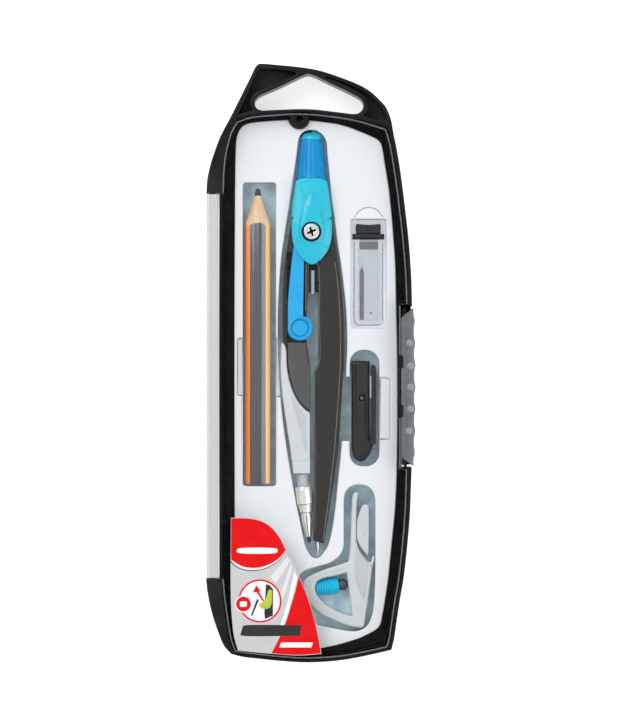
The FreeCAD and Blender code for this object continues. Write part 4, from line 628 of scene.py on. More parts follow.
# near-black for the real screw seat ring, also used as painted shade in the screw's cross slot
M["darkring"] = mat("screw_seat", srgb(4, 9, 13), 0.5, bump=0.02, vary=0.1, spec=0.15)
HEAD = [[(296.2, 181), (299, 179.2), (304, 177.8), (311.5, 177.2), (319, 177.8), (324, 179.2), (327, 181)],
        [(327, 181), (328.6, 190), (330.4, 203), (331.8, 216)], [(331.8, 216), (329.8, 217.5)], [(329.8, 217.5), (331.4, 220)],
        [(331.4, 220), (332, 230), (331, 240), (328, 249.5), (322, 258), (316, 263), (312, 264.2), (308, 263), (302, 258), (296.3, 250), (293.2, 243), (292, 235), (291.8, 225), (292, 220)],
        [(292, 220), (293.8, 217.5)], [(293.8, 217.5), (291.5, 216)], [(291.5, 216), (292.8, 203), (294.6, 190), (296.2, 181)]]
plate("head_cheek_top", loop(HEAD), [], 11.5, 13.0, 0.7, "compass", "compass_head", M["turq"], 5, 60)
plate("head_cheek_low", loop(HEAD), [], 2.55, 4.55, 0.6, "compass", (), M["turq"], 4, 60)
plate("head_yoke", loop([[(297.2, 181), (311.5, 178.5), (326, 181)], [(326, 181), (328, 192), (330.3, 212)], [(330.3, 212), (293, 212)], [(293, 212), (294.8, 192), (297.2, 181)]]),
      [], 4.4, 11.7, 0.05, "compass", (), M["turq"])
# Teardrop swelling that runs down from the yoke around the screw.
TEAR = loop([[(311.4, 190.5), (308.2, 195), (304.6, 201), (301.7, 208), (299.7, 216), (298.4, 224), (298.2, 231), (299.2, 238), (302, 243), (306.4, 246.2), (311.5, 247.3), (316.6, 246.2),
              (321, 243), (324, 238), (325, 231), (324.8, 224), (323.4, 216), (321.3, 208), (318.3, 201), (314.6, 195), (311.4, 190.5)]], 6)
dome("head_teardrop", TEAR, 13.3, 14.35, "compass", (), M["turq"], 1.5, 10, 0.62, 12.6, (P(311.5, 228)[0], P(311.5, 228)[1]))
# Long crown of the cheek: soft fall towards both edges.
dome("head_crown", loop(HEAD, 5), 12.75, 13.95, "compass", (), M["turq"], 1.1, 12, 0.9, 12.3, (P(311.5, 228)[0], P(311.5, 228)[1]))
SX, SY = P(311.5, 231.5)
UPW = (0, 0.0001, 1)
lathe("screw_seat_ring", [(2.5, 13.0), (3.5, 13.0), (3.5, 14.4), (3.38, 14.5), (3.2, 14.5), (3.0, 14.42), (2.9, 14.3), (2.5, 14.3)], (SX, SY, 0), UPW, "compass", (), M["darkring"], 64)
cross = []
for k in range(4):
    a = math.pi / 2 * k + 0.35
    d, s = Vector((math.cos(a), math.sin(a))), Vector((-math.sin(a), math.cos(a)))
    for f, g in ((0.42, -0.42), (1.55, -0.34), (1.75, 0.0), (1.55, 0.34)):
        cross.append(Vector((SX, SY)) + (d * f + s * g) * MM)
plate("screw_head", circle(311.5, 231.5, 7.7, 64), [cross], 14.1, 14.95, 0.2, "compass", "pivot_screw", M["chrome"], 3, 30)
# dark disc under the head, seen through the cross slot: painted shade at the bottom of the slot
lathe("screw_slot_shade", [(0.01, 13.6), (2.7, 13.6), (2.7, 14.45), (0.01, 14.4)], (SX, SY, 0), UPW, "compass", (), M["darkring"], 48)
lathe("screw_shank", [(0.01, 2.7), (1.55, 2.7), (1.55, 13.4), (0.01, 13.4)], (SX, SY, 0), UPW, "compass", (), M["steel"], 40)
GX = P(311.6, 0)[0]
prof = [(3.3, 180.6), (5.15, 180.8), (5.38, 180.2), (5.33, 177), (5.05, 170), (4.75, 160), (4.42, 152), (4.1, 145), (3.85, 140.5), (3.78, 139.2), (3.6, 138.7), (3.2, 138.7)]
fine = []
for i in range(len(prof) - 1):
    for k in range(4):
        f = k / 4
        fine.append((prof[i][0] + (prof[i + 1][0] - prof[i][0]) * f, prof[i][1] + (prof[i + 1][1] - prof[i][1]) * f))
fine.append(prof[-1])
lathe("grip_ribbed", [(r, (363.0 - v) * U / MM) for r, v in fine], (GX, 0, 8 * MM), (0, 1, 0), "compass", "compass_grip", M["blue"], 168,
      lambda a, h: min(1.0, 4.1 / (5.4 * abs(math.sin(a)) + 0.001)) if h < (363 - 177.5) * U / MM else 1.0 if (h > (363 - 141.5) * U / MM or h < (363 - 176.8) * U / MM) else 1.0 - 0.07 * abs(math.sin(7.0 * a)) ** 8 - 0.008 * math.cos(14 * a))
lathe("grip_cap_dome", [(0.01, (363 - v) * U / MM) if r == 0 else (r, (363 - v) * U / MM) for r, v in
                        [(2.9, 139.2), (3.62, 138.6), (3.66, 137.6), (3.5, 135.8), (3.1, 133.6), (2.5, 132.4), (1.6, 131.8), (0, 131.6)]],
      (GX, 0, 8 * MM), (0, 1, 0), "compass", "grip_end_cap", M["turq"], 64)
# Legs
NL = [[(332.6, 225), (334.9, 240), (338.2, 262), (340.9, 282), (343, 306), (343.9, 330), (344, 362), (341.6, 400), (339.2, 440), (337, 460), (334.1, 480), (330.9, 500), (327.9, 520), (325.4, 535), (323.9, 544)],
      [(323.9, 544), (313.4, 541.2)], [(313.4, 541.2), (314, 500), (314.3, 372)], [(314.3, 372), (318.4, 363)], [(318.4, 363), (318.5, 310), (318.5, 265)],
      [(318.5, 265), (318.5, 250)], [(318.5, 250), (313.2, 245)], [(313.2, 245), (313.2, 225)], [(313.2, 225), (332.6, 225)]]
plate("needle_leg_shell", loop(NL), [], 6.3, 11.3, 0.5, "needle_leg", "needle_leg", M["leg"], 4, 60)


# lighter lines along both edges of the needle leg: painted highlights on the chamfers
strip("needle_leg_highlight_line", [(334.9, 262), (338, 285), (339.8, 310), (340.5, 340), (340.1, 370), (338, 402), (335.3, 440), (333.3, 460), (331.1, 480), (328.6, 500), (326, 520), (323.9, 535), (323, 540)], 0.3, 11.1, 11.42, "needle_leg", M["edge"])
strip("needle_leg_edge_highlight", [(319.6, 266), (319.6, 320), (319.4, 362), (315.6, 373), (315.3, 450), (314.9, 530)], 0.22, 11.1, 11.38, "needle_leg", M["edge"])
plate("lead_leg_floor", loop([[(290.3, 225), (288.2, 240), (285.8, 255), (284, 270), (282.9, 290), (282.4, 315), (282.6, 341)], [(282.6, 341), (285.6, 350)],
      [(285.6, 350), (287.7, 370), (292, 387), (298, 400), (304.5, 408), (309.6, 412.3)], [(309.6, 412.3), (309.6, 363)], [(309.6, 363), (306.6, 341), (306.4, 318), (307.9, 292)],
      [(307.9, 292), (307.9, 250)], [(307.9, 250), (309.8, 245)], [(309.8, 245), (309.8, 225)], [(309.8, 225), (290.3, 225)]]), [], 6.3, 8.7, 0.15, "lead_leg", "lead_leg", M["leg"])
plate("lead_leg_frame", loop([[(290.3, 225), (288.2, 240), (285.8, 255), (284, 270), (282.9, 290), (282.4, 315), (282.6, 341)], [(282.6, 341), (286, 350)], [(286, 350), (287.1, 350)],
      [(287.1, 350), (287.1, 252)], [(287.1, 252), (304.9, 252)], [(304.9, 252), (304.9, 314)], [(304.9, 314), (306.5, 314)], [(306.5, 314), (306.6, 305), (307.9, 292)],
      [(307.9, 292), (307.9, 250)], [(307.9, 250), (309.8, 245)], [(309.8, 245), (309.8, 225)], [(309.8, 225), (290.3, 225)]]), [], 8.6, 11.3, 0.25, "lead_leg", (), M["leg"])
plate("lead_leg_inset", loop([[(287.4, 342.2), (287.9, 365), (291.3, 383), (297.6, 398.5), (304.5, 406.8), (309.4, 411.2)], [(309.4, 411.2), (309.4, 363)],
      [(309.4, 363), (306.9, 350), (306.5, 342.2)], [(306.5, 342.2), (287.4, 342.2)]]), [], 8.6, 11.45, 0.55, "lead_leg", (), M["charcoal"], 5, 60)
# lighter lines along the lead leg's edges: painted highlights
strip("lead_leg_highlight_line", [(306.2, 264), (306.1, 285), (305.7, 310)], 0.3, 11.1, 11.4, "lead_leg", M["edge"])
strip("lead_leg_edge_highlight", [(308.6, 366), (308.6, 390), (308.4, 408)], 0.2, 11.2, 11.5, "lead_leg", M["edge"])
ARM = [[(281.2, 343.2), (284.6, 343.2)], [(284.6, 343.2), (286.2, 347), (286.4, 352)], [(286.4, 352), (287.2, 370), (291.3, 387.6), (297.5, 400.8), (304.2, 408.9), (310, 413.3)],
       [(310, 413.3), (310.2, 474)], [(310.2, 474), (293.4, 474)], [(293.4, 474), (291, 455), (288, 435), (285, 415), (282.2, 395), (280.4, 370), (281.2, 343.2)]]
plate("lower_arm_shell", loop(ARM), [], 6.3, 11.25, 0.55, "lead_leg", "lower_arm", M["arm"], 4, 60)
plate("lower_arm_inset", loop([[(289.6, 391), (295, 401.5), (301, 409.5), (306.2, 416)], [(306.2, 416), (306.6, 434), (306.2, 451)], [(306.2, 451), (303.6, 443), (299.8, 428), (295.2, 412), (289.6, 391)]]),
      [], 11.1, 11.36, 0.08, "lead_leg", (), M["armdark"])
# darker line on the arm stands for a groove: painted shade, no groove is cut
strip("lower_arm_groove_shade", [(290.6, 458), (293.6, 460.4), (300, 461.3), (306, 460.6), (309.2, 459)], 0.3, 11.1, 11.33, "lead_leg", M["armdark"])
# Opening lever and its dished button
plate("lever_arm_shell", loop([[(291.2, 264), (304.1, 264)], [(304.1, 264), (303.2, 316)], [(303.2, 316), (308.5, 317.5), (312.2, 323), (312.6, 330), (309, 337.5), (303, 340.5), (296, 340), (290, 336.5), (287.5, 331)],
      [(287.5, 331), (287.9, 300), (291.2, 264)]]), [circle(299.9, 328, 9.2, 48)], 8.95, 12.0, 0.45, "opening_lever", "opening_lever", M["lever"], 4, 60)
plate("lever_block_shell", rounded([(293.5, 246, 2), (304.1, 246, 2), (304.1, 266, 0.4), (291.0, 266, 0.4)]), [], 8.65, 11.98, 0.42, "lead_leg", "lever_block", M["lever"], 3, 60)
BX, BY = P(299.9, 328)
# the dish takes the darker grip blue: painted shade in its hollow, while the ring keeps the lever's lighter blue
lathe("lever_button_dish_shaded", [(0.01, 10.2), (3.25, 10.2), (3.3, 11.9), (3.12, 11.85), (2.9, 11.45), (2.3, 11.15), (1.4, 11.0), (0.6, 10.94), (0.01, 10.93)], (BX, BY, 0), UPW, "opening_lever", (), M["blue"], 64)
lathe("lever_button_ring", [(3.25, 11.2), (3.25, 12.0), (3.4, 12.25), (3.75, 12.4), (4.1, 12.25), (4.35, 11.9), (4.4, 11.3)], (BX, BY, 0), UPW, "opening_lever", (), M["lever"], 64)

M["pale_blue"] = mat("pale_blue_plastic", srgb(150, 168, 184), 0.4, bump=0.02, vary=0.08)
plate("bracket_tongue", rounded([(310.1, 269.6, 1.2), (314.9, 269.6, 1.2), (314.7, 294, 1.6), (310.5, 294, 1.6)]), [], 8.2, 10.6, 0.4, "compass", (), M["pale_blue"], 4)
for k, v in enumerate((283, 287, 291)):
    strip("bracket_tooth_%d" % k, [(317.2, v), (318.3, v)], 1.0, 9.4, 11.1, "compass", M["black"], 0.1)

# ---------------------------------------------------------------- chuck sleeve and jaws
CXA, CYA, CT = -3.04 * MM, -39.38 * MM, math.radians(5.87)
CDIR = (math.sin(CT), -math.cos(CT), 0)
tube_a = lathe("chuck_sleeve_turned", [(1.56, 4.16), (2.8, 4.16), (3.0, 4.3), (3.06, 4.5), (3.06, 5.0), (2.96, 5.08), (2.96, 5.2), (3.04, 5.3), (3.0, 8.9), (2.94, 10.2), (2.84, 10.3), (2.8, 10.42), (2.84, 10.54), (2.9, 10.6), (2.82, 10.9),
      (2.5, 11.0), (2.46, 11.3), (2.36, 12.6), (2.3, 13.1), (2.2, 13.26), (2.0, 13.32), (1.56, 13.32), (1.56, 4.16)],
      (CXA, CYA, 8.8 * MM), CDIR, "chuck_sleeve", "chuck_sleeve", M["sleeve"], 96,
      lambda a, h: 1.0 - (0.022 * (0.5 + 0.5 * math.cos(24 * a)) if 5.35 < h < 10.1 else 0.0))
tube_b = lathe("chuck_shadow_ring", [(2.3, 10.32), (2.86, 10.34), (2.86, 10.5), (2.3, 10.52), (2.3, 10.32)], (CXA, CYA, 8.8 * MM), CDIR, "chuck_sleeve", (), M["graphite"], 64)

for tube in (tube_a, tube_b):
    bm = bmesh.new()
    bm.from_mesh(tube.data)
    bmesh.ops.delete(bm, geom=[f for f in bm.faces if len(f.verts) > 8], context="FACES_ONLY")
    bmesh.ops.remove_doubles(bm, verts=bm.verts, dist=1e-7)
    bmesh.ops.recalc_face_normals(bm, faces=bm.faces)
    bm.to_mesh(tube.data)
    bm.free()

# ---------------------------------------------------------------- pencil
M["orange"] = mat("orange_lacquer", srgb(238, 132, 44), 0.25, bump=0.01, vary=0.05, coat=0.4, stretch=(1, 0.05, 1), vscale=500)
# lighter orange and lighter grey are painted highlights on the right-hand faces; the dark lacquer is painted shade on
# the underside
M["orange_painted_highlight"] = mat("painted_highlight_orange_lacquer", srgb(246, 190, 112), 0.25, bump=0.01, vary=0.04, coat=0.4, stretch=(1, 0.05, 1), vscale=500)
M["lacquer"] = mat("grey_lacquer", srgb(88, 90, 95), 0.28, 0.25, bump=0.01, vary=0.1, coat=0.4, stretch=(1, 0.04, 1), vscale=900)
M["lacquer_painted_highlight"] = mat("painted_highlight_grey_lacquer", srgb(142, 143, 149), 0.28, 0.25, bump=0.01, vary=0.08, coat=0.4, stretch=(1, 0.04, 1), vscale=900)
M["lacquer_painted_shade"] = mat("painted_shade_lacquer", srgb(30, 26, 26), 0.35, bump=0.01, vary=0.1, coat=0.2)
PCX = P(257.6, 0)[0]
PCZ = 7.47
half = [(0, 10.6, 0), (0.9, 10.6, 0), (1.35, 10.6, 1), (2.0, 10.6, 1), (2.78, 10.57, 1), (3.3, 10.45, 2), (3.75, 10.2, 2), (4.1, 9.85, 2), (4.33, 9.4, 2), (4.42, 8.9, 3), (4.2, 8.1, 3), (3.6, 7.1, 3), (2.4, 5.1, 3), (1.1, 3.0, 3), (0.6, 2.62, 3), (0, 2.52, 3)]
sec = [(x, z, m) for x, z, m in half]
left = [(-x, z, m) for x, z, m in half[1:-1]][::-1]
sec = sec + [(x, z, {0: 0, 1: 0, 2: 4, 3: 3}[m]) for x, z, m in left]
# material of the face that starts at each point; the lighter grey and lighter orange are painted highlights on the
# right-hand faces, the dark lacquer is painted shade on the underside
mats_ = ["lacquer", "lacquer_painted_highlight", "orange_painted_highlight", "lacquer_painted_shade", "orange", "wood"]
bm = bmesh.new()
n = len(sec)


def scallop(x, z):
    if z > 10.3:
        return 222.3 + 2.6 * (x / 2.9) ** 2 + 0.5 * math.sin(x * 5.1)
    if z > 8.5:
        return 223.4
    return 222.0


rows = []
for v in (484.2, 483.4):
    s = 0.93 if v == 484.2 else 1.0
    rows.append([bm.verts.new((PCX + x * s * MM, P(0, v)[1], (PCZ + (z - PCZ) * s) * MM)) for x, z, m in sec])
rows.append([bm.verts.new((PCX + x * MM, P(0, scallop(x, z))[1], z * MM)) for x, z, m in sec])
for t in (0.02, 0.2, 0.4, 0.6, 0.8, 1.0):
    ring = []
    for x, z, m in sec:
        r0 = math.hypot(x, z - PCZ)
        a = math.atan2(z - PCZ, x)
        rr = r0 * (1 - t) + 1.12 * t
        if t == 0.02:
            rr = r0 * 0.975
        # the section turns round as it narrows
        rr = rr * (1 - t) + (4.3 * (1 - t) + 1.12 * t) * t if t > 0.02 else rr
        v = scallop(x, z) * (1 - t) + 195.0 * t
        ring.append(bm.verts.new((PCX + rr * math.cos(a) * MM, P(0, v)[1], (PCZ + rr * math.sin(a)) * MM)))
    rows.append(ring)
for i in range(len(rows) - 1):
    for k in range(n):
        f = bm.faces.new((rows[i][k], rows[i][(k + 1) % n], rows[i + 1][(k + 1) % n], rows[i + 1][k]))
        if i >= 2:
            f.material_index = 5
        else:
            a, b = sec[k], sec[(k + 1) % n]
            mx, mz = (a[0] + b[0]) / 2, (a[1] + b[1]) / 2
            # top right and right flank take the painted-highlight copies; faces below take the painted-shade lacquer
            if mz > 10.53:
                f.material_index = 1 if mx > 1.3 else 0
            elif mz > 8.85:
                f.material_index = 2 if mx > 0 else 4
            else:
                f.material_index = 3
bm.faces.new(rows[0][::-1]).material_index = 5
bm.faces.new(rows[-1])
bmesh.ops.recalc_face_normals(bm, faces=bm.faces)
me = bpy.data.meshes.new("pencil_shell")
bm.to_mesh(me)
bm.free()
pen = new_object("pencil_shell", me)
for k in mats_:
    me.materials.append(M[k])
finish_mesh(pen, 40, False)
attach(pen, "pencil")
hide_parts("pencil_body")
lathe("pencil_core_tip", [(1.1, (363 - 195.6) * U / MM), (1.12, (363 - 194.6) * U / MM), (1.02, (363 - 192) * U / MM), (0.85, (363 - 190) * U / MM), (0.55, (363 - 188.2) * U / MM), (0.01, (363 - 187.3) * U / MM)],
      (PCX, 0, PCZ * MM), (0, 1, 0), "pencil", "pencil_lead", M["graphite"], 32)
lathe("pencil_core_end", [(0.01, (363 - 484.5) * U / MM), (0.9, (363 - 484.4) * U / MM), (1.0, (363 - 484.0) * U / MM), (1.0, (363 - 480) * U / MM)], (PCX, 0, PCZ * MM), (0, 1, 0), "pencil", (), M["graphite"], 24)

# ---------------------------------------------------------------- lid label
M["red"] = mat("label_red", srgb(212, 0, 6), 0.45, bump=0.005, vary=0.04, spec=0.15)
M["paper_white"] = mat("label_white", srgb(228, 228, 230), 0.4, bump=0.005, vary=0.01)
M["ink"] = mat("label_ink", srgb(16, 17, 20), 0.4, bump=0.005, vary=0.1)
M["lime"] = mat("label_lime", srgb(172, 188, 40), 0.4, bump=0.005, vary=0.08)
M["ray"] = mat("label_ray", srgb(212, 212, 215), 0.4, bump=0.005, vary=0.01)
LABEL = [[(231, 517.5), (248, 517.8), (262, 520.8), (272, 527.3), (280, 537.2), (286.5, 550), (291.5, 560), (297, 571.5), (302, 582.5), (307, 595), (311.5, 608), (316, 625), (319.3, 640), (321.5, 653.5)],
         [(321.5, 653.5), (300, 655), (280, 654), (260, 652.3), (238, 650)], [(238, 650), (234, 635), (231.8, 615), (230.8, 590), (231, 517.5)]]
plate("label_sheet", loop(LABEL), [], 18.0, 18.12, 0.03, "lid", "lid_label", M["label"])
TOPE = [(231.3, 518), (248, 518.3), (261.8, 521.3), (271.7, 527.7), (279.6, 537.5), (285.8, 549.8)]


def print_(name, spans, key, z=18.12, t=0.022):
    return plate(name, loop(spans) if isinstance(spans[0], list) else [Vector(P(*p)) for p in spans], [], z, z + t, 0.004, "lid", (), M[key], 1)


print_("label_lens_shadow", [[(230.9, 562), (235, 566), (243, 569.6), (252, 570.7), (262, 569.5), (272, 565.5), (279.5, 560), (286, 550.6)], [(286, 550.6), (230.9, 555)], [(230.9, 555), (230.9, 562)]], "ink", 18.105)
print_("label_lens_white", [[(230.9, 560), (235, 564.6), (243, 568.6), (252, 569.8), (262, 568.6), (272, 564.6), (279.5, 559), (286, 550)], [(286, 550), (230.9, 554)], [(230.9, 554), (230.9, 560)]], "paper_white", 18.115)
print_("label_lens", [TOPE, [(285.8, 549.8), (280, 557), (272, 562.8), (262, 566.6), (253, 567.6), (243, 566.2), (235, 562), (231.1, 559.4)], [(231.1, 559.4), (231.3, 518)]], "red", 18.125)
print_("label_bar_a", [[(237, 549.6), (238.2, 548.4), (276.6, 548.4), (277.8, 549.6)], [(277.8, 549.6), (277.8, 551.2)], [(277.8, 551.2), (276.6, 552.4), (238.2, 552.4), (237, 551.2)], [(237, 551.2), (237, 549.6)]], "paper_white", 18.14)
print_("label_ray_a", [(287.6, 556), (290, 561), (276, 583), (270, 577)], "ray")
print_("label_ray_b", [(291, 563), (292.6, 567), (286, 590), (279.5, 606), (278.6, 599)], "ray")
print_("label_ray_c", [(294.2, 570.5), (297.4, 577.5), (292, 600), (286, 619), (279.8, 634), (277, 634), (283, 617), (289, 596)], "paper_white", 18.121)
print_("label_panel", [[(298.6, 576.5), (302, 583.5), (307, 596), (311.2, 608.5), (315.6, 625), (318.8, 640), (320.9, 653)], [(320.9, 653), (300, 654.4), (283, 653.8), (271.6, 652.8)],
                       [(271.6, 652.8), (276, 644), (281, 634), (286.5, 620), (291.3, 604), (296, 588), (298.6, 576.5)]], "red", 18.126)
plate("label_ring", circle(260, 600.6, 21.6, 64), [circle(260, 600.6, 19.9, 64)], 18.13, 18.155, 0.005, "lid", (), M["red"], 1)
plate("label_disc_white", circle(260, 600.6, 20.2, 64), [], 18.11, 18.14, 0.005, "lid", (), M["paper_white"], 1)
plate("label_dot_rim", circle(243.6, 603.6, 8.6, 48), [], 18.13, 18.162, 0.005, "lid", (), M["paper_white"], 1)
plate("label_dot", circle(243.6, 603.6, 7.4, 48), [], 18.14, 18.17, 0.005, "lid", (), M["red"], 1)
plate("label_dot_mark", rounded([(240, 601, 1), (247, 601, 1), (247, 606.4, 1), (240, 606.4, 1)]), [], 18.15, 18.175, 0.003, "lid", (), M["paper_white"], 1)
print_("label_leg", [(266, 584), (269.5, 584.6), (273, 588.6), (273, 615.2), (265, 618.6), (264.4, 612)], "ink", 18.14)
print_("label_lever", [[(268, 591), (270, 589), (272, 590)], [(272, 590), (272, 598), (271.6, 603), (269.5, 607.5), (264, 608.5), (260, 606.4), (259.4, 603.6)], [(259.4, 603.6), (262.5, 602), (265.5, 599), (268, 591)]], "lime", 18.15)
print_("label_arrow", [(256.4, 585), (261, 590.6), (259, 591), (264.8, 601), (262.6, 600.4), (256.6, 591.8), (253, 592)], "red", 18.15)
print_("label_stick", [(257, 598.6), (259, 599.6), (252.4, 615.4), (251, 615)], "ink", 18.15)
print_("label_bar_b", [[(243, 625.5), (246, 624.8), (302, 624.8)], [(302, 624.8), (299.6, 635.4)], [(299.6, 635.4), (243.4, 635.4), (240.4, 634.6)], [(240.4, 634.6), (243, 625.5)]], "ink", 18.15)
print_("label_bar_c", [[(281.5, 642), (313, 642)], [(313, 642), (311.4, 647)], [(311.4, 647), (279.2, 647)], [(279.2, 647), (281.5, 642)]], "paper_white", 18.15)

# ---------------------------------------------------------------- lead box
M["box_wall"] = mat("box_clear_wall", srgb(226, 233, 239), 0.12, alpha=0.3, bump=0.0, vary=0.02, rvary=0.03)
M["box_edge"] = mat("clear_edge_painted_shade", srgb(150, 164, 184), 0.15, alpha=0.6, bump=0.0, vary=0.05, rvary=0.03)
M["box_top"] = mat("box_clear_top", srgb(240, 246, 250), 0.1, alpha=0.1, bump=0.0, vary=0.01, rvary=0.02)
M["box_back"] = mat("box_clear_back", srgb(206, 218, 230), 0.2, alpha=0.3, bump=0.01, vary=0.05, vscale=90, rvary=0.03)
M["soft_black"] = mat("soft_black_plastic", srgb(32, 33, 35), 0.5, bump=0.04, vary=0.1, spec=0.35)
BOXR = rounded([(353.2, 239, 0.6), (384, 239, 0.6), (384, 325.6, 3.2), (353.2, 325.6, 3.2)])
plate("lead_box_walls", BOXR, [rounded([(359.4, 241.5, 0.5), (378.7, 241.5, 0.5), (378.7, 321, 1.5), (359.4, 321, 1.5)])], 2.65, 9.4, 0.15, "lead_box", "lead_box_tube", M["box_wall"])
plate("lead_box_lid_face", rounded([(354, 239.6, 0.6), (383.2, 239.6, 0.6), (383.2, 324.6, 3), (354, 324.6, 3)]), [], 8.5, 9.55, 0.35, "lead_box", (), M["box_top"])
plate("lead_box_back_face", rounded([(359.4, 241.5, 0.6), (378.7, 241.5, 0.6), (378.7, 321, 1.5), (359.4, 321, 1.5)]), [], 2.7, 3.5, 0.1, "lead_box", (), M["box_top"])
# darker lines along the clear box's real walls and faint lighter lines inside them: painted shade and painted highlight
# where the walls refract light
strip("lead_box_line_left", [(354.3, 241), (354.3, 280), (354.4, 318), (355.2, 322.5), (357.5, 324.6)], 0.42, 8.9, 9.5, "lead_box", M["box_edge"])
strip("lead_box_line_low", [(357.5, 324.8), (366, 325), (380, 324.8)], 0.4, 8.9, 9.5, "lead_box", M["box_edge"])
strip("lead_box_line_right", [(382.9, 243), (382.9, 280), (382.8, 320)], 0.3, 8.9, 9.5, "lead_box", M["box_edge"])
strip("lead_box_line_in_l", [(359.2, 250), (359.2, 318)], 0.25, 8.9, 9.5, "lead_box", M["box_top"])
strip("lead_box_line_in_r", [(379.2, 250), (379.2, 318)], 0.3, 8.9, 9.5, "lead_box", M["box_top"])
plate("lead_box_cap_rim", rounded([(352.6, 233.4, 0.8), (384.6, 233.4, 0.8), (384.6, 238.8, 0.8), (352.6, 238.8, 0.8)]), [], 2.5, 9.6, 0.5, "lead_box_cap", "lead_box_cap", M["soft_black"])
plate("lead_box_cap_block", loop([[(357.4, 223.2), (362, 223.8), (369, 224.2), (376, 223.8), (379.8, 223.2)], [(379.8, 223.2), (380.8, 224.4), (380.8, 233.6)], [(380.8, 233.6), (356.2, 233.6)], [(356.2, 233.6), (356.2, 224.4), (357.4, 223.2)]]),
      [], 3.0, 9.1, 0.55, "lead_box_cap", (), M["soft_black"], 4)
plate("lead_box_cap_plug", rounded([(359.7, 238.4, 0.5), (378.4, 238.4, 0.5), (378.4, 248.9, 1), (359.7, 248.9, 1)]), [], 3.9, 8.2, 0.3, "lead_box_cap", (), M["soft_black"])
# the clear box glows faintly: painted light that lifts it out of the recess shade
for key, e in (("box_wall", 0.1), ("box_back", 0.22), ("box_top", 0.06)):
    b = M[key].node_tree.nodes["Principled BSDF"]
    b.inputs["Emission Color"].default_value = (0.80, 0.87, 0.93, 1)
    b.inputs["Emission Strength"].default_value = e
# glowing white sheet under the lead box: painted light in the recess
M["sheet"] = mat("box_recess_glow_sheet", srgb(232, 238, 242), 0.45, bump=0.01, vary=0.03, vscale=80)
M["sheet"].node_tree.nodes["Principled BSDF"].inputs["Emission Color"].default_value = (0.86, 0.91, 0.95, 1)
M["sheet"].node_tree.nodes["Principled BSDF"].inputs["Emission Strength"].default_value = 0.5
plate("recess_box_glow_sheet", r_box, [], 2.21, 2.34, 0.03, "case", (), M["sheet"])
plate("box_moulding_dot", circle(371.4, 312.8, 1.1, 20), [], 3.4, 3.62, 0.03, "lead_box", (), M["ink"])

# ---------------------------------------------------------------- lead pointer
M["shaft0"] = mat("rivet_plastic", srgb(88, 90, 94), 0.4, bump=0.03, vary=0.1)
plate("pointer_shell", loop([[(351.7, 361.6), (352.4, 361), (369.8, 361)], [(369.8, 361), (369.8, 440)], [(369.8, 440), (371.7, 440)], [(371.7, 440), (371.7, 366.3)], [(371.7, 366.3), (374.2, 364.8), (376.3, 368)],
      [(376.3, 368), (376.3, 400), (375.6, 430), (372.5, 448), (367.5, 458), (361, 462), (355, 458.5), (352.2, 450), (351.6, 435)], [(351.6, 435), (351.7, 361.6)]]),
      [circle(362, 398, 1.6, 24)], 2.5, 10.3, 1.5, "lead_pointer", "pointer_body", M["soft_black"], 4)
lathe("pointer_rivet_head", [(0.01, 10.1), (0.62, 10.1), (0.62, 10.42), (0.5, 10.5), (0.36, 10.42), (0.01, 10.34)], (P(362, 398)[0], P(362, 398)[1], 0), (0, 0.0001, 1), "lead_pointer", "pointer_rivet", M["shaft0"], 24)
# lighter grey line down the left side of the black body: painted highlight of its rounded flank
strip("pointer_highlight_line", [(353.2, 368), (353.0, 400), (353.4, 436), (356, 450)], 0.22, 9.4, 9.75, "lead_pointer", M["shaft0"], 0.06)

# ---------------------------------------------------------------- holder
M["knob"] = mat("knob_plastic", srgb(0, 186, 230), 0.25, bump=0.01, vary=0.04, coat=0.2, spec=0.4)
M["shaft"] = mat("shaft_plastic", srgb(62, 68, 80), 0.5, bump=0.05, vary=0.15)
RING = [[(346.6, 573.5), (335, 576.6), (325, 578.6), (317.8, 582), (315.3, 587), (316, 593.5), (321.5, 601.5), (331, 608.6), (341, 613.6), (352.2, 617)],
        [(352.2, 617), (350.4, 602), (348.6, 588), (346.6, 573.5)]]
HOLD = [[(352.4, 497), (354, 493.3), (357, 492.6), (358.6, 494)], [(358.6, 494), (357, 504), (356.6, 518), (356.4, 541)], [(356.4, 541), (358.5, 549), (363.5, 557), (368.6, 562.4), (371, 562.8), (372.8, 555.5)], [(372.8, 555.5), (373.3, 562)],
        [(373.3, 562), (371.3, 578), (368.4, 600), (364.2, 627.5)], [(364.2, 627.5), (362, 628.8)], [(362, 628.8), (353, 628), (343, 625), (330, 619.5), (320, 614.5), (312, 607.5), (306, 599.5), (303.3, 592), (301.9, 586.5), (303.4, 581.8), (309, 577), (320, 572), (330, 568.3), (340, 565.2), (348.3, 562.2)],
        [(348.3, 562.2), (350, 550), (350.9, 530), (351.6, 512), (352.4, 497)]]
plate("holder_shell", loop(HOLD), [loop(RING)], 2.5, 10.1, 0.75, "holder", "holder_frame", M["arm"], 5, 60)
plate("holder_web", loop([[(356.4, 545), (360, 554), (368.2, 565.4)], [(368.2, 565.4), (366.8, 580), (363.8, 600)], [(363.8, 600), (359, 590), (355.6, 572), (356.4, 545)]]), [], 10.02, 10.25, 0.12, "holder", (), M["armdark"], 3)
strip("holder_hook_line", [(355.9, 541), (357.2, 547.5), (361, 555), (367.6, 563.6), (368.6, 566), (367.2, 579), (364.6, 600)], 0.36, 9.95, 10.36, "holder", M["arm"], 0.12)
strip("holder_arm_line", [(352, 565), (343, 568.8), (330, 572.4), (318, 576.2), (309.6, 581.4)], 0.4, 9.95, 10.3, "holder", M["arm"], 0.12)
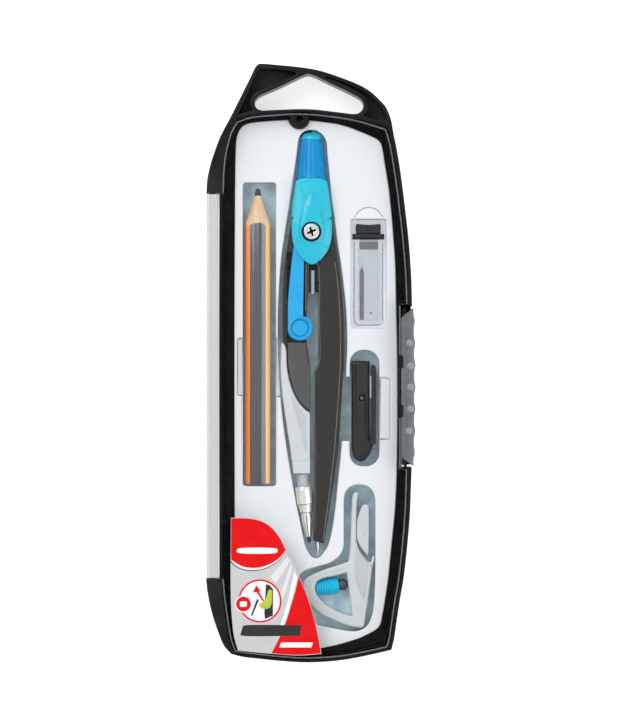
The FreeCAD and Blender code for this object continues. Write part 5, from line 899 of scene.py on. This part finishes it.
CLIP = [[(362.4, 506), (365.6, 504.9), (369, 505.6)], [(369, 505.6), (369.2, 530), (368.8, 552)], [(368.8, 552), (368, 556.8)], [(368, 556.8), (363, 550.6), (359.4, 545), (357.0, 539)], [(357.0, 539), (356.9, 530), (357.2, 521)], [(357.2, 521), (359.6, 513), (362.4, 506)]]
plate("holder_clip_shell", loop(CLIP), [], 3.2, 9.6, 0.4, "holder", "holder_clip", M["clip"], 4, 60)
lathe("holder_clip_boss", [(0.45, 9.4), (0.75, 9.5), (0.72, 9.78), (0.5, 9.84), (0.3, 9.7), (0.01, 9.66)], (P(363.6, 534)[0], P(363.6, 534)[1], 0), (0, 0.0001, 1), "holder", (), M["clip"], 24)
ang = math.radians(8)
ka = (math.cos(ang), math.sin(ang), 0)
kprof = [(1.2, -0.3), (2.0, -0.25), (2.35, 0.1)]
for i in range(65):
    x = 0.2 + 7.4 * i / 64
    base = 2.45 + 0.5 * min(1.0, x / 3.2) ** 0.7
    kprof.append((base + 0.15 * math.cos(2 * math.pi * 8.5 * (i / 64)), x))
kprof += [(2.7, 7.8), (2.2, 7.95), (1.2, 7.95)]
lathe("clamp_knob_ribbed", kprof, (P(316.6, 589.3)[0], P(316.6, 589.3)[1], 6.4 * MM), ka, "clamp_screw", "clamp_knob", M["knob"], 64)
lathe("clamp_shaft", [(0.3, 0.2), (1.2, 0.2), (1.2, 7.9), (1.95, 8.0), (2.0, 8.3), (2.0, 10.2), (1.9, 10.4), (1.15, 10.4), (1.15, 10.9), (1.28, 11.0), (1.28, 11.4), (1.12, 11.5), (1.12, 15.8), (0.3, 15.9)],
      (P(316.6, 589.3)[0], P(316.6, 589.3)[1], 6.4 * MM), ka, "clamp_screw", "clamp_screw", M["shaft"], 40)
strip("insert_step_line", [(376, 486.2), (384, 486.4), (393, 486.8)], 0.3, 9.9, 10.08, "case", M["white"], 0.08)

# ---------------------------------------------------------------- small CAD nodes: rounded edges
BEVEL = {"hinge_pins": 0.15, "latch_flap": 0.25, "latch_pin": 0.1, "centring_bracket": 0.2, "lever_block": 0.15,
         "clear_ferrule": 0.1, "chuck_jaws": 0.08, "pointer_blade": 0.05, "holder_clip": 0.35, "clamp_screw": 0.12,
         "pivot_nut": 0.1, "lead_box_cap": 0.3, "lead_box_tube": 0.25}
for node, wdt in BEVEL.items():
    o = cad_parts[node]
    if o.hide_render:
        continue
    m = o.modifiers.new("edges", "BEVEL")
    m.width = wdt * MM
    m.segments = 2
    m.limit_method = "ANGLE"
    m.angle_limit = math.radians(50)
    m.use_clamp_overlap = True

# ---------------------------------------------------------------- stage, light, camera
bm = bmesh.new()
bmesh.ops.create_grid(bm, x_segments=24, y_segments=24, size=2.5)
me = bpy.data.meshes.new("floor")
bm.to_mesh(me)
bm.free()
floor = new_object("floor", me)
floor.location.z = -0.0002
fm = mat("floor_paint", srgb(250, 250, 247), 0.9, bump=0.0, vary=0.004, vscale=3)
me.materials.append(fm)
fb = fm.node_tree.nodes["Principled BSDF"]
fb.inputs["Emission Color"].default_value = (1, 1, 0.985, 1)
fb.inputs["Emission Strength"].default_value = 0.6


def area(name, loc, target, size, power, color=(1, 1, 1)):
    l = bpy.data.lights.new(name, "AREA")
    l.shape = "RECTANGLE"
    l.size, l.size_y = size
    l.energy = power
    l.color = color
    o = bpy.data.objects.new(name, l)
    bpy.context.scene.collection.objects.link(o)
    o.location = loc
    o.rotation_euler = (Vector(target) - Vector(loc)).to_track_quat("-Z", "Y").to_euler()
    return o


area("key", (-0.55, 0.65, 1.0), (0, 0, 0), (0.9, 0.9), 9.0)
area("fill", (0.8, -0.3, 0.9), (0, 0, 0), (0.9, 0.9), 4.5, (1, 0.99, 0.97))
w = bpy.data.worlds.new("studio")
w.use_nodes = True
w.node_tree.nodes["Background"].inputs[0].default_value = (1, 1, 1, 1)
w.node_tree.nodes["Background"].inputs[1].default_value = 0.75
bpy.context.scene.world = w
bpy.context.scene.view_settings.view_transform = "Standard"

cam = bpy.data.cameras.new("camera")
cam.sensor_fit = "VERTICAL"
cam.sensor_height = 24.0
cam.lens = 24.0 * 1.6 / (726 * U)
cam.clip_end = 10
co = bpy.data.objects.new("camera", cam)
bpy.context.scene.collection.objects.link(co)
co.location = ((310.0 - 310.95) * U, 0.0, 1.6155)
bpy.context.scene.camera = co
